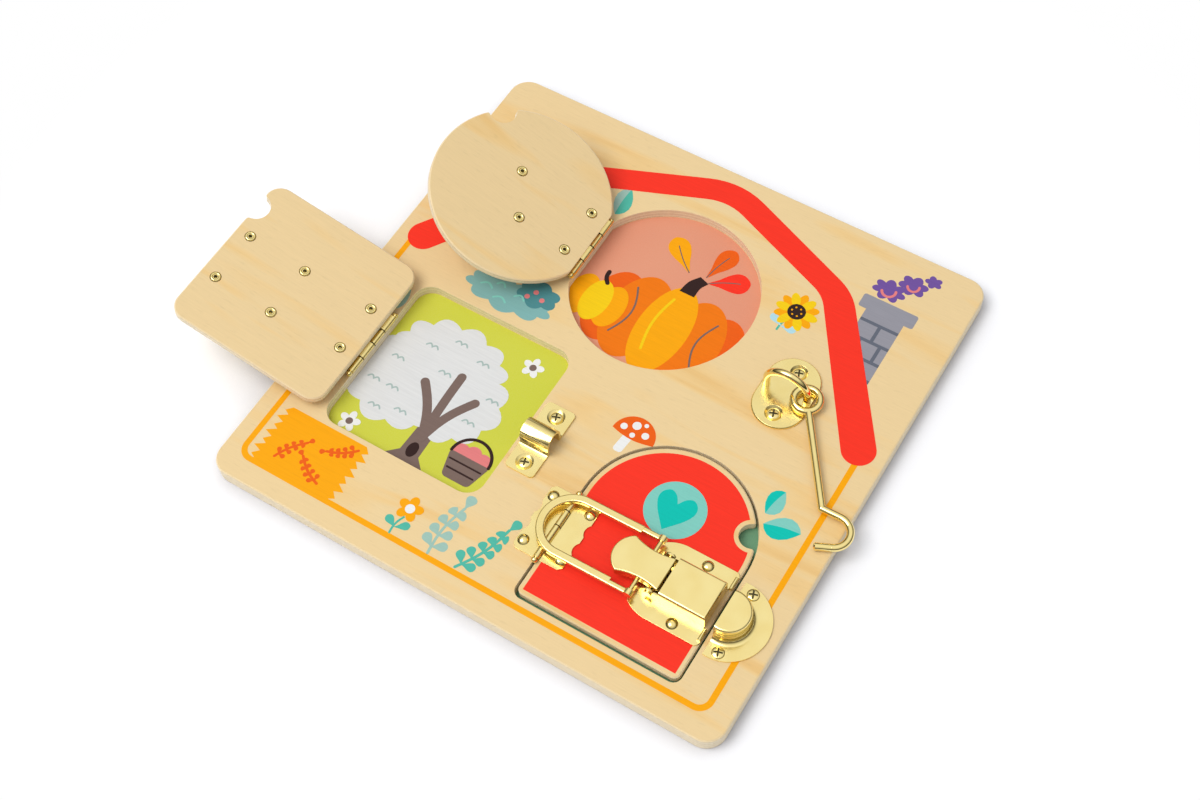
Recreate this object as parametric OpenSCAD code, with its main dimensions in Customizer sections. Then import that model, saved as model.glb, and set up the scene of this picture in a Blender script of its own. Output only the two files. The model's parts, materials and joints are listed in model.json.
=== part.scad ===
// Wooden busy board: three hinged peep doors, each with its own brass fastening.
//
// Frame: origin at the centre of the board's underside, +X to the right of the picture,
// +Y to the top of the barn roof, +Z out of the printed face. Millimetres.
// Doors are designed shut, flush with the printed face. Two of them rest open.

/* [Board] */
// Side of the square board
board_side = 300; // [296:1:310]
// Radius of the board's corners
board_corner = 11; // [6:1:16]
// Thickness of the back board
back_ply = 4; // [3:0.5:6]
// Thickness of the pierced front board
front_ply = 6; // [5.8:0.1:8]
// Bevel on the outer edges of the boards and doors
edge_ease = 0.7; // [0.3:0.1:1]

/* [Doors] */
// Thickness of the doors
door_ply = 5; // [4:0.1:5.1]
// Gap between a door and the hole round it
door_gap = 1; // [0.8:0.1:1.4]
// Radius of the finger notches
notch_r = 8; // [6:0.5:9]
// How far the square door rests open, in degrees
square_open = 167.7; // [160:0.1:168]
// How far the round door rests open, in degrees
round_open = 159.3; // [150:0.1:159.3]

/* [Hinges] */
// Length of a hinge over its knuckles
hinge_len = 39.6; // [36:0.4:42]
// Reach of a hinge leaf from the pin
leaf_reach = 14.4; // [13.6:0.1:15]
// Thickness of a leaf
leaf_t = 0.9; // [0.7:0.1:1]
// Outer radius of a knuckle
knuckle_r = 1.75; // [1.6:0.05:1.8]
// Radius of a hinge pin
pin_r = 1; // [0.8:0.05:1.1]

/* [Slide bolt] */
// Radius of the bolt's rod
rod_r = 4.5; // [4:0.1:4.5]
// Travel of the rod
bolt_travel = 19; // [14:0.5:19]
// Width of the keeper strap
keeper_w = 17; // [14:0.5:17]

/* [Hook and staples] */
// Radius of the staple and hook wire
wire_r = 2.05; // [1.8:0.05:2.1]
// Distance between a staple's legs
staple_span = 23.6; // [20:0.2:24]
// Height of a staple over the wood
staple_h = 20.9; // [18:0.1:20.9]
// Distance from the hook's eye to its sharp corner
hook_shank = 62.3; // [50:0.1:63]

/* [Draw latch] */
// Inside width of the bail
bail_inner = 27.6; // [27:0.1:28]
// Reach of the bail from its pivot to the outside of its loop
bail_reach = 60.8; // [58:0.1:61.5]
// Width of the bail's bar
bail_bar = 4.4; // [3.6:0.1:4.4]

/* [Hidden] */
$fn = 64;

wood = [0.93, 0.83, 0.64];
brass = [0.90, 0.76, 0.36];
lime = [0.83, 0.84, 0.24];
salmon = [0.93, 0.61, 0.49];
leaf_green = [0.39, 0.60, 0.47];

face = back_ply + front_ply;     // height of the printed face
eps = 0.01;                      // overshoot of a cutting tool
through = 30;                    // length of a cutter that goes right through a piece
picture_t = 0.3;                 // printed card on a recess floor

// Hinge lines: x of the pin and y of the middle of the hinge
square_hinge = [-117.2, -48.5];
round_hinge = [-49, 63.6];
arched_hinge = [25.4, -90.1];
pin_z = knuckle_r;               // height of a pin over the face
hole_from_pin = 0.5;             // a hole's hinge edge lies this far past the pin

// Square hole and door
square_w = 97;
square_h = 98;
square_r = 10;
square_mid = [square_hinge[0] + hole_from_pin + square_w / 2, -48.7];
square_notch_y = -19.6;

// Round hole and door
round_mid = [-1.4, 62.2];
round_r = 52.3;
round_chord_x = round_hinge[0] + hole_from_pin;
round_notch_angle = 44;

// Arched hole and door. This hinge stands over the gap, and the door hangs a little high.
arched_left = 24.6;
arched_right = 118.8;
arched_r = (arched_right - arched_left) / 2;
arched_mid = [arched_right - arched_r, -62.9];
arched_bottom = -131.8;
arched_corner = 5;
arched_gap = door_gap + 0.4;
arched_foot_gap = door_gap + 1.4;
arched_notch_r = 6.9;
arched_notch_sink = 2;           // the notch's centre lies this far inside the door's edge
arched_notch_angle = 24.5;

// Fasteners
rivet_shank = 1.5;
rivet_head = 3.1;
rivet_rise = 1.5;                // height of a domed head
tail_ring = 2.15;                // middle of the rolled rim on a door's back
tail_rise = 0.7;
screw_shank = 1.4;
screw_head = 2.7;
screw_deep = 5.5;                // depth of a screw in the front board
leaf_rivet_x = 10.9;             // from the pin
leaf_rivet_y = 14.1;             // either side of the hinge's middle

// Slide bolt, on its axis
bolt_y = -51.8;
plate_t = 1.2;
rod_z = plate_t + 0.2 + rod_r;   // over the face
loop_w = 12;                     // width of a guide loop
knob_room = 4.6;                 // knob's neck and its play between the loops
loop_x = [-65.1, -65.1 + loop_w + knob_room + bolt_travel];
strap_t = 1.3;
strap_half = 21.6;               // half length of a strap's feet, along y
keeper_x = -8.7;
fixing_y = 15.2;                 // screws either side of the bolt's axis
rod_front = -21.2;               // drawn-back end of the rod
rod_back = -85.7;
knob_x = loop_x[0] + loop_w / 2 + 2.2;
knob_tilt = 35;
knob_seat = 1.5;                 // the knob's stem is let into the rod to here from its axis
knob_stem_r = 1.6;

// Hook plate and the eye plate like it
plate_half = 14.8;               // half width of the oval
plate_run = 7.5;                 // centres of its round ends
oval_t = 1.5;
oval_screw = 14;                 // screws either side of the middle
hook_mid = [87, 36.1];
eye_mid = [-1, 61.3];
eye_turn = -30;
staple_bend_z = staple_h - wire_r - staple_span / 2;
hook_turn = -55.2;               // direction of the shank in the board's plane
hook_tilt = 1.5;                 // the hook's end leans down to the board
hook_z = oval_t + 0.85 + wire_r; // height of the wire's middle at the eye
eye_r = 6.85;                    // middle of the wire of the hook's eye
hook_corner = 57;                // angle of the sharp corner
hook_run = 10.3;                 // straight run between the corner and the round bend
bend_r = 8.8;
bend_sweep = 157;                // angle of the round bend
tip_len = 9.2;

// Draw latch, over the arched door
latch_y = -88.1;
base_t = 1;
lever_x = 83.6;                  // lever pin
lever_z = 5.4;
lever_pin_r = 1.25;
bail_x = 75.7;                   // bail pivot on the lever
bail_z = 6.7;
bail_pin_r = 1.2;
bail_thick = 3;
hinge_clear = 0.25;              // the bail's bar rests this far over the knuckles
bail_drop = asin((bail_z - 2 * knuckle_r - bail_thick / 2 - hinge_clear) / (bail_x - arched_hinge[0]));
latch_top = 10.2;
housing_x = [89.1, 115.2];
housing_half = 11.4;
sheet_t = 1;
catch_mid = [123.2, -90.2];
catch_cut = 2.1;                 // the catch is cut off square this far left of its middle
catch_r = 11.6;
catch_z = 12.6;
latch_rivet_x = 100.8;
latch_rivet_y = 17.7;

// ---------------------------------------------------------------- shared shapes

module round_rect(w, h, r) {
  square([w - 2 * r, h], center = true);
  square([w, h - 2 * r], center = true);
  for (sx = [-1, 1], sy = [-1, 1])
    translate([sx * (w / 2 - r), sy * (h / 2 - r)]) circle(r);
}

// Bevelled rim of a rounded rectangle: it draws in by its own height
module bevel_rim(w, h, r, e) {
  for (sx = [-1, 1], sy = [-1, 1])
    translate([sx * (w / 2 - r), sy * (h / 2 - r), 0]) cylinder(h = e, r1 = r, r2 = r - e);
  rotate([90, 0, 0]) linear_extrude(h - 2 * r, center = true)
    polygon([[-w / 2, 0], [w / 2, 0], [w / 2 - e, e], [e - w / 2, e]]);
  rotate([90, 0, 90]) linear_extrude(w - 2 * r, center = true)
    polygon([[-h / 2, 0], [h / 2, 0], [h / 2 - e, e], [e - h / 2, e]]);
}

// Rounded rectangular panel from z = 0 to t, with its edges eased above and below
module panel(w, h, r, t, e, below = true, above = true) {
  low = below ? e : 0;
  high = above ? e : 0;
  translate([0, 0, low]) linear_extrude(t - low - high) round_rect(w, h, r);
  if (above) translate([0, 0, t - e]) bevel_rim(w, h, r, e);
  if (below) translate([0, 0, e]) mirror([0, 0, 1]) bevel_rim(w, h, r, e);
}

// Round panel with eased edges
module disc(r, t, e) {
  cylinder(h = e, r1 = r - e, r2 = r);
  translate([0, 0, e]) cylinder(h = t - 2 * e, r = r);
  translate([0, 0, t - e]) cylinder(h = e, r1 = r, r2 = r - e);
}

// Barn-door outline: a half circle over a rectangle with rounded lower corners
module arch_outline(gap, foot_gap) {
  r = arched_r - gap;
  low = arched_bottom + foot_gap;
  c = arched_corner - gap;
  translate(arched_mid) circle(r);
  translate([arched_mid[0] - r, low + c]) square([2 * r, arched_mid[1] - low - c]);
  translate([arched_mid[0] - r + c, low]) square([2 * (r - c), c + eps]);
  for (sx = [-1, 1]) translate([arched_mid[0] + sx * (r - c), low + c]) circle(c);
}

// Finger notch of radius r about the origin, with rounded lips. The wood's edge lies on
// x = sink, with the wood at smaller x.
module finger_notch(t, r = notch_r, sink = 0) {
  lip = 2.5;
  lip_x = sink - lip;
  half = sqrt((r + lip) * (r + lip) - lip_x * lip_x);
  linear_extrude(t, center = true) difference() {
    union() {
      circle(r);
      translate([lip_x, -half]) square([lip + 3, 2 * half]);
    }
    for (s = [-1, 1]) translate([lip_x, s * half]) circle(lip);
  }
}

// Places its children, designed shut, where a door open by the given angle holds them
module swing(hinge, angle) {
  translate([hinge[0], 0, face + pin_z]) rotate([0, -angle, 0])
    translate([-hinge[0], 0, -face - pin_z]) children();
}

// Cap of a ball: radius of its foot and its height
module dome(foot, rise) {
  ball = (foot * foot + rise * rise) / (2 * rise);
  difference() {
    translate([0, 0, rise - ball]) sphere(ball);
    translate([-2 * ball, -2 * ball, -4 * ball]) cube(4 * ball);
  }
}

// Tubular shank through a door, rolled over into a round rim on the door's back
module tubular_shank(under) {
  bore = 1.1;
  bore_deep = 3;
  difference() {
    union() {
      translate([0, 0, -door_ply - tail_rise / 2]) cylinder(h = door_ply + tail_rise / 2 + under, r = rivet_shank);
      translate([0, 0, -door_ply]) difference() {
        rotate_extrude() translate([tail_ring, 0]) circle(tail_rise, $fn = 32);
        cylinder(h = 2, r = 4);
      }
    }
    translate([0, 0, -door_ply - 2]) cylinder(h = bore_deep + 2, r = bore);
  }
}

// Domed tubular rivet through a door: head on top of metal of thickness under
module door_rivet(under) {
  translate([0, 0, under]) dome(rivet_head, rivet_rise);
  tubular_shank(under);
}

// Short rivet that fixes a frame leaf to the front board
module frame_rivet(under) {
  translate([0, 0, under]) dome(rivet_head, rivet_rise);
  translate([0, 0, -screw_deep]) cylinder(h = screw_deep + under, r = screw_shank);
}

// Cross-recessed screw whose head sits low in a countersink; its head's foot is at z = seat
module cross_screw(seat, rise, deep) {
  difference() {
    union() {
      translate([0, 0, seat]) dome(screw_head, rise);
      translate([0, 0, -deep]) cylinder(h = deep + seat, r = screw_shank);
    }
    for (a = [0, 90]) rotate([0, 0, a + 20])
      translate([0, 0, seat + rise]) cube([3, 0.7, 1.4], center = true);
  }
}

// Clearance for a cross screw's head, sloped like the dimple of a pressed plate
module dimple(seat, t) {
  translate([0, 0, -eps]) cylinder(h = t + 2 * eps, r = screw_shank);
  translate([0, 0, seat]) cylinder(h = t - seat + eps, r1 = screw_head, r2 = screw_head + t - seat);
}

// ---------------------------------------------------------------- hinges

// Butt-hinge leaf that reaches to +x from a pin along y, with its wavy outer edge.
// Its knuckles are the odd or even quarters of the barrel.
module hinge_leaf(first) {
  quarter = hinge_len / 4;
  clear = 0.1;
  corner = 3;
  dip_r = 5.2;
  dip_y = 5.6;
  difference() {
    union() {
      linear_extrude(leaf_t) difference() {
        translate([0, -hinge_len / 2]) square([leaf_reach, hinge_len]);
        for (s = [-1, 1]) {
          translate([leaf_reach + dip_r - 1.5, s * dip_y]) circle(dip_r);
          translate([leaf_reach, s * hinge_len / 2]) rotate(45) square(corner, center = true);
        }
      }
      for (i = [0:3]) if (i % 2 == first)
        translate([0, (i - 2) * quarter + clear, pin_z]) rotate([-90, 0, 0])
          cylinder(h = quarter - 2 * clear, r = knuckle_r);
    }
    for (i = [0:3]) if (i % 2 != first)
      translate([-1, (i - 2) * quarter - clear, -1]) cube([1 + knuckle_r + 0.3, quarter + 2 * clear, 4]);
    translate([0, -hinge_len, pin_z]) rotate([-90, 0, 0]) cylinder(h = 2 * hinge_len, r = pin_r + 0.05);
    for (s = [-1, 1]) translate([leaf_rivet_x, s * leaf_rivet_y, -1])
      cylinder(h = 3, r = first == 0 ? screw_shank : rivet_shank);
  }
}

module frame_leaf(hinge) {
  translate([hinge[0], hinge[1], face]) mirror([1, 0, 0]) hinge_leaf(0);
}

module door_leaf(hinge) {
  translate([hinge[0], hinge[1], face]) hinge_leaf(1);
}

// Pin with ball tips beyond the barrel
module hinge_pin(hinge) {
  tip_r = 1.65;
  tip_y = hinge_len / 2 + tip_r - 0.4;
  translate([hinge[0], hinge[1], face + pin_z]) {
    rotate([90, 0, 0]) cylinder(h = 2 * tip_y, r = pin_r, center = true);
    for (s = [-1, 1]) translate([0, s * tip_y, 0]) difference() {
      sphere(tip_r);
      translate([0, -s * (tip_r + 0.6), 0]) cube([4, 2 * tip_r, 4], center = true);
    }
  }
}

module at_leaf_rivets(hinge, side) {
  for (s = [-1, 1]) translate([hinge[0] + side * leaf_rivet_x, hinge[1] + s * leaf_rivet_y, face])
    children();
}

// ---------------------------------------------------------------- boards and pictures

module square_hole() {
  translate([square_mid[0], square_mid[1], back_ply - eps]) linear_extrude(front_ply + 1)
    round_rect(square_w, square_h, square_r);
}

module round_hole() {
  difference() {
    translate([round_mid[0], round_mid[1], back_ply - eps]) cylinder(h = front_ply + 1, r = round_r, $fn = 128);
    translate([round_chord_x - 20, round_mid[1] - round_r, 0]) cube([20, 2 * round_r, through]);
  }
}

module arched_hole() {
  translate([0, 0, back_ply - eps]) linear_extrude(front_ply + 1) arch_outline(0, 0);
}

module board_screw_holes() {
  for (h = [square_hinge, round_hinge, arched_hinge]) at_leaf_rivets(h, -1) screw_hole();
  at_keeper_screws() screw_hole();
  at_hook_screws() screw_hole();
  at_catch_screws() screw_hole();
}

module screw_hole() {
  translate([0, 0, -screw_deep]) cylinder(h = screw_deep + 1, r = screw_shank);
}

module back_board() {
  color(wood) panel(board_side, board_side, board_corner, back_ply, edge_ease, true, false);
}

module front_board() {
  color(wood) difference() {
    translate([0, 0, back_ply])
      panel(board_side, board_side, board_corner, front_ply, edge_ease, false, true);
    square_hole();
    round_hole();
    arched_hole();
    board_screw_holes();
  }
}

module square_picture() {
  color(lime) translate([square_mid[0], square_mid[1], back_ply]) linear_extrude(picture_t)
    round_rect(square_w - 0.4, square_h - 0.4, square_r - 0.2);
}

module round_picture() {
  color(salmon) difference() {
    translate([round_mid[0], round_mid[1], back_ply]) cylinder(h = picture_t, r = round_r - 0.2, $fn = 128);
    translate([round_chord_x - 20, round_mid[1] - round_r, 0]) cube([20.2, 2 * round_r, through]);
  }
}

module arched_picture() {
  color(leaf_green) translate([0, 0, back_ply]) linear_extrude(picture_t) arch_outline(0.2, 0.2);
}

// ---------------------------------------------------------------- frame hardware

module square_hinge_frame_leaf() { color(brass) frame_leaf(square_hinge); }
module round_hinge_frame_leaf() { color(brass) frame_leaf(round_hinge); }
module arched_hinge_frame_leaf() { color(brass) frame_leaf(arched_hinge); }
module square_hinge_pin() { color(brass) hinge_pin(square_hinge); }
module round_hinge_pin() { color(brass) hinge_pin(round_hinge); }
module arched_hinge_pin() { color(brass) hinge_pin(arched_hinge); }

module hinge_frame_rivets() {
  color(brass) for (h = [square_hinge, round_hinge, arched_hinge]) at_leaf_rivets(h, -1)
    frame_rivet(leaf_t);
}

// Saddle profile over the rod: flat feet, upright cheeks and a round crown, seen along x.
// The opening clears the rod by gap.
module saddle_profile(gap, foot_t) {
  inner = rod_r + gap;
  outer = inner + strap_t;
  fillet = 1.6;
  difference() {
    union() {
      translate([-strap_half, 0]) square([2 * strap_half, foot_t]);
      translate([-outer, 0]) square([2 * outer, rod_z]);
      translate([0, rod_z]) circle(outer);
      translate([-outer - fillet, 0]) square([2 * (outer + fillet), foot_t + fillet]);
    }
    translate([-inner, -1]) square([2 * inner, rod_z + 1]);
    translate([0, rod_z]) circle(inner);
    for (s = [-1, 1]) translate([s * (outer + fillet), foot_t + fillet]) circle(fillet);
  }
}

// Saddle strap of width w about x = 0, with its dimpled screw holes
module saddle(w, gap, foot_t, corner) {
  difference() {
    intersection() {
      rotate([90, 0, 90]) linear_extrude(w, center = true) saddle_profile(gap, foot_t);
      linear_extrude(30) round_rect(w, 2 * strap_half, corner);
    }
    for (s = [-1, 1]) translate([0, s * fixing_y, 0]) dimple(0.3, foot_t);
  }
}

module at_keeper_screws() {
  for (s = [-1, 1]) translate([keeper_x, bolt_y + s * fixing_y, face]) children();
}

module bolt_keeper() {
  color(brass) translate([keeper_x, bolt_y, face]) saddle(keeper_w, 0.3, strap_t, 2.5);
}

module keeper_screws() {
  color(brass) at_keeper_screws() cross_screw(0.3, 1.7, screw_deep);
}

// Oval plate with two dimpled screw holes along y and the staple's two leg holes along x
module oval_plate(hole) {
  ease = 0.5;
  difference() {
    union() {
      linear_extrude(oval_t - ease) oval(plate_half);
      translate([0, 0, oval_t - ease]) {
        for (s = [-1, 1]) translate([0, s * plate_run, 0])
          cylinder(h = ease, r1 = plate_half, r2 = plate_half - ease);
        rotate([90, 0, 0]) linear_extrude(2 * plate_run, center = true)
          polygon([[-plate_half, 0], [plate_half, 0], [plate_half - ease, ease], [ease - plate_half, ease]]);
      }
    }
    for (s = [-1, 1]) {
      translate([0, s * oval_screw, 0]) dimple(0.2, oval_t);
      translate([0, s * oval_screw, -1]) cylinder(h = 2, r = hole);
      translate([s * staple_span / 2, 0, -1]) cylinder(h = 4, r = wire_r);
    }
  }
}

module oval(r) {
  for (s = [-1, 1]) translate([0, s * plate_run]) circle(r);
  square([2 * r, 2 * plate_run], center = true);
}

// Upright staple of round wire across the plate, its legs riveted in the plate
module staple() {
  for (s = [-1, 1]) translate([s * staple_span / 2, 0, 0]) cylinder(h = staple_bend_z, r = wire_r);
  translate([0, 0, staple_bend_z]) rotate([90, 0, 0])
    rotate_extrude(angle = 180) translate([staple_span / 2, 0]) circle(wire_r, $fn = 32);
}

module at_hook_screws() {
  for (s = [-1, 1]) translate([hook_mid[0], hook_mid[1] + s * oval_screw, face]) children();
}

module hook_plate() { color(brass) translate([hook_mid[0], hook_mid[1], face]) oval_plate(screw_shank); }
module hook_staple() { color(brass) translate([hook_mid[0], hook_mid[1], face]) staple(); }
module hook_plate_screws() { color(brass) at_hook_screws() cross_screw(0.2, 1.3, screw_deep); }

// Section of the pressed catch: flange, flared foot, waisted wall and rounded cap. It is
// drawn in by t for the hollow inside.
module catch_section(t) {
  cap_round = 1.5 - t / 2;
  flare = 3 + t;
  waist = 4;
  r = catch_r - t;
  top = catch_z - t;
  difference() {
    union() {
      square([r, top - cap_round]);
      square([r - cap_round, top]);
      translate([r - cap_round, top - cap_round]) circle(cap_round);
      translate([0, 1 - t]) square([catch_r + 3, 3]);
    }
    translate([catch_r + 3, 4]) circle(flare);
    translate([catch_r + waist - 0.6, 7.2]) circle(waist + t);
  }
}

module at_catch_screws() {
  for (s = [-1, 1]) translate([catch_mid[0] + 4.2, catch_mid[1] + s * 17.4, face]) children();
}

// Pressed half-round catch, open on its straight side: the bail's loop draws in at its waist
module catch() {
  flange_r = 21.7;
  color(brass) difference() {
    translate([catch_mid[0], catch_mid[1], face]) difference() {
      union() {
        cylinder(h = 1, r = flange_r);
        rotate_extrude() catch_section(0);
      }
      rotate_extrude() difference() {
        catch_section(1);
        translate([0, -10]) square([through, 9]);
      }
      translate([-through - catch_cut, -through, -1]) cube([through, 2 * through, through]);
    }
    at_catch_screws() cylinder(h = 4, r = screw_shank, center = true);
  }
}

module catch_screws() { color(brass) at_catch_screws() cross_screw(1, 1.4, screw_deep); }

// ---------------------------------------------------------------- square door and slide bolt

module at_bolt_rivets() {
  for (x = loop_x, s = [-1, 1]) translate([x, bolt_y + s * fixing_y, face]) children();
}

module square_door() {
  w = square_w - 2 * door_gap;
  h = square_h - 2 * door_gap;
  edge_x = square_mid[0] + w / 2;
  color(wood) swing(square_hinge, square_open) difference() {
    translate([square_mid[0], square_mid[1], face - door_ply])
      panel(w, h, square_r - door_gap, door_ply, edge_ease);
    translate([edge_x, square_notch_y, face]) finger_notch(through);
    at_leaf_rivets(square_hinge, 1) rivet_hole();
    at_bolt_rivets() rivet_hole();
  }
}

module rivet_hole() {
  cylinder(h = through, r = rivet_shank, center = true);
}

module square_hinge_door_leaf() { color(brass) swing(square_hinge, square_open) door_leaf(square_hinge); }

module square_hinge_rivets() {
  color(brass) swing(square_hinge, square_open) at_leaf_rivets(square_hinge, 1) door_rivet(leaf_t);
}

// Base plate with the two loops that guide the rod
module bolt_plate() {
  long = loop_x[1] - loop_x[0] + loop_w;
  middle = (loop_x[0] + loop_x[1]) / 2;
  color(brass) swing(square_hinge, square_open) difference() {
    union() {
      translate([middle, bolt_y, face]) linear_extrude(plate_t) round_rect(long, 2 * 19, 3);
      for (x = loop_x) translate([x, bolt_y, face]) intersection() {
        rotate([90, 0, 90]) linear_extrude(loop_w, center = true) saddle_profile(0.15, plate_t);
        translate([-20, -19, 0]) cube([40, 38, 40]);
      }
    }
    for (x = loop_x) translate([x, bolt_y, face + plate_t]) rotate([90, 0, 90])
      linear_extrude(2 * loop_w, center = true) {
        translate([-rod_r - 0.15, 0]) square([2 * rod_r + 0.3, rod_z - plate_t]);
        translate([0, rod_z - plate_t]) circle(rod_r + 0.15);
      }
    at_bolt_rivets() cylinder(h = 4, r = rivet_shank, center = true);
  }
}

module bolt_rivets() {
  color(brass) swing(square_hinge, square_open) at_bolt_rivets() door_rivet(plate_t);
}

module bolt_rod() {
  ease = 0.8;
  length = rod_front - rod_back;
  color(brass) swing(square_hinge, square_open) difference() {
    translate([rod_back, bolt_y, face + rod_z]) rotate([0, 90, 0]) {
      cylinder(h = ease, r1 = rod_r - ease, r2 = rod_r);
      translate([0, 0, ease]) cylinder(h = length - 2 * ease, r = rod_r);
      translate([0, 0, length - ease]) cylinder(h = ease, r1 = rod_r, r2 = rod_r - ease);
    }
    on_knob() translate([0, 0, knob_seat]) cylinder(h = 10, r = knob_stem_r);
  }
}

module on_knob() {
  translate([knob_x, bolt_y, face + rod_z]) rotate([-knob_tilt, 0, 0]) children();
}

module bolt_knob() {
  neck_z = rod_r + 0.1;
  neck_len = 2.6;
  ball_r = 3.8;
  ball_z = 10.8;
  color(brass) swing(square_hinge, square_open) on_knob() {
    translate([0, 0, knob_seat]) cylinder(h = neck_z - knob_seat, r = knob_stem_r);
    translate([0, 0, neck_z]) cylinder(h = neck_len, r = 2);
    // ball, flat underneath where it meets the neck
    translate([0, 0, ball_z]) difference() {
      sphere(ball_r);
      translate([0, 0, neck_z + neck_len - ball_z - 3]) cube([10, 10, 6], center = true);
    }
  }
}

// ---------------------------------------------------------------- round door and eye

module at_eye(z) {
  translate([eye_mid[0], eye_mid[1], z]) rotate([0, 0, eye_turn]) children();
}

module round_door() {
  r = round_r - door_gap;
  edge = round_chord_x + door_gap;
  color(wood) swing(round_hinge, round_open) difference() {
    translate([round_mid[0], round_mid[1], face - door_ply]) disc(r, door_ply, edge_ease, $fn = 128);
    translate([edge - 20, round_mid[1] - round_r, 0]) cube([20, 2 * round_r, through]);
    translate([round_mid[0], round_mid[1], face]) rotate([0, 0, round_notch_angle])
      translate([r - 0.4, 0, 0]) finger_notch(through);
    at_leaf_rivets(round_hinge, 1) rivet_hole();
    at_eye(face) for (s = [-1, 1]) translate([0, s * oval_screw, 0]) rivet_hole();
  }
}

module round_hinge_door_leaf() { color(brass) swing(round_hinge, round_open) door_leaf(round_hinge); }

module round_hinge_rivets() {
  color(brass) swing(round_hinge, round_open) at_leaf_rivets(round_hinge, 1) door_rivet(leaf_t);
}

module eye_plate() { color(brass) swing(round_hinge, round_open) at_eye(face) oval_plate(rivet_shank); }
module eye_staple() { color(brass) swing(round_hinge, round_open) at_eye(face) staple(); }

module eye_rivets() {
  color(brass) swing(round_hinge, round_open) at_eye(face) for (s = [-1, 1])
    translate([0, s * oval_screw, 0]) {
      translate([0, 0, 0.2]) dome(screw_head, 1.3);
      tubular_shank(0.2);
    }
}

// ---------------------------------------------------------------- arched door and draw latch

module at_latch_rivets() {
  for (s = [-1, 1]) translate([latch_rivet_x, latch_y + s * latch_rivet_y, face]) children();
}

module arched_door() {
  e = edge_ease;
  color(wood) difference() {
    union() {
      translate([0, 0, face - door_ply + e]) linear_extrude(door_ply - 2 * e) arch_outline(arched_gap, arched_foot_gap);
      translate([0, 0, face - e]) arch_rim(e);
      translate([0, 0, face - door_ply + e]) mirror([0, 0, 1]) arch_rim(e);
    }
    translate([arched_mid[0], arched_mid[1], face]) rotate([0, 0, arched_notch_angle])
      translate([arched_r - arched_gap - arched_notch_sink, 0, 0])
        finger_notch(through, arched_notch_r, arched_notch_sink);
    at_leaf_rivets(arched_hinge, 1) rivet_hole();
    at_latch_rivets() rivet_hole();
  }
}

// Bevel round the arched door
module arch_rim(e) {
  r = arched_r - arched_gap;
  low = arched_bottom + arched_foot_gap;
  c = arched_corner - arched_gap;
  x = arched_mid[0];
  translate([x, arched_mid[1], 0]) cylinder(h = e, r1 = r, r2 = r - e);
  for (sx = [-1, 1]) translate([x + sx * (r - c), low + c, 0]) cylinder(h = e, r1 = c, r2 = c - e);
  translate([x, arched_mid[1], 0]) rotate([90, 0, 0]) linear_extrude(arched_mid[1] - low - c)
    polygon([[-r, 0], [r, 0], [r - e, e], [e - r, e]]);
  translate([x - r + c, 0, 0]) rotate([90, 0, 90]) linear_extrude(2 * (r - c))
    polygon([[low, 0], [low + c + eps, 0], [low + c + eps, e], [low + e, e]]);
}

module arched_hinge_door_leaf() { color(brass) door_leaf(arched_hinge); }

module arched_hinge_rivets() {
  color(brass) at_leaf_rivets(arched_hinge, 1) door_rivet(leaf_t);
}

// Base plate: bowed shoulders towards the lever, and two wings that end in turned-up lips
module latch_base() {
  half = 22.2;
  shoulder_x = 88;
  left = 75.3;
  right = 117.3;
  lip = 2.6;
  lip_t = 1.8;
  color(brass) translate([0, latch_y, face]) difference() {
    union() {
      linear_extrude(base_t) intersection() {
        translate([left, -half]) square([right - left, 2 * half]);
        union() {
          for (s = [-1, 1]) translate([shoulder_x, s * (half - 20)]) circle(20);
          translate([shoulder_x, -half]) square([right - shoulder_x - 3, 2 * half]);
          translate([shoulder_x, 3 - half]) square([right - shoulder_x, 2 * half - 6]);
          for (s = [-1, 1]) translate([right - 3, s * (half - 3)]) circle(3);
        }
      }
      // turned-up lips with rounded tops
      translate([right - lip_t, 0, 0]) rotate([90, 0, 0]) linear_extrude(2 * half - 6, center = true) {
        square([lip_t, lip - lip_t / 2]);
        translate([lip_t / 2, lip - lip_t / 2]) circle(lip_t / 2);
      }
    }
    // the housing's end stands free between the wings
    translate([housing_x[1] - eps, -housing_half - 0.8, -1]) cube([10, 2 * housing_half + 1.6, 10]);
    for (s = [-1, 1]) translate([latch_rivet_x, s * latch_rivet_y, -1]) cylinder(h = 4, r = rivet_shank);
  }
}

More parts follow.
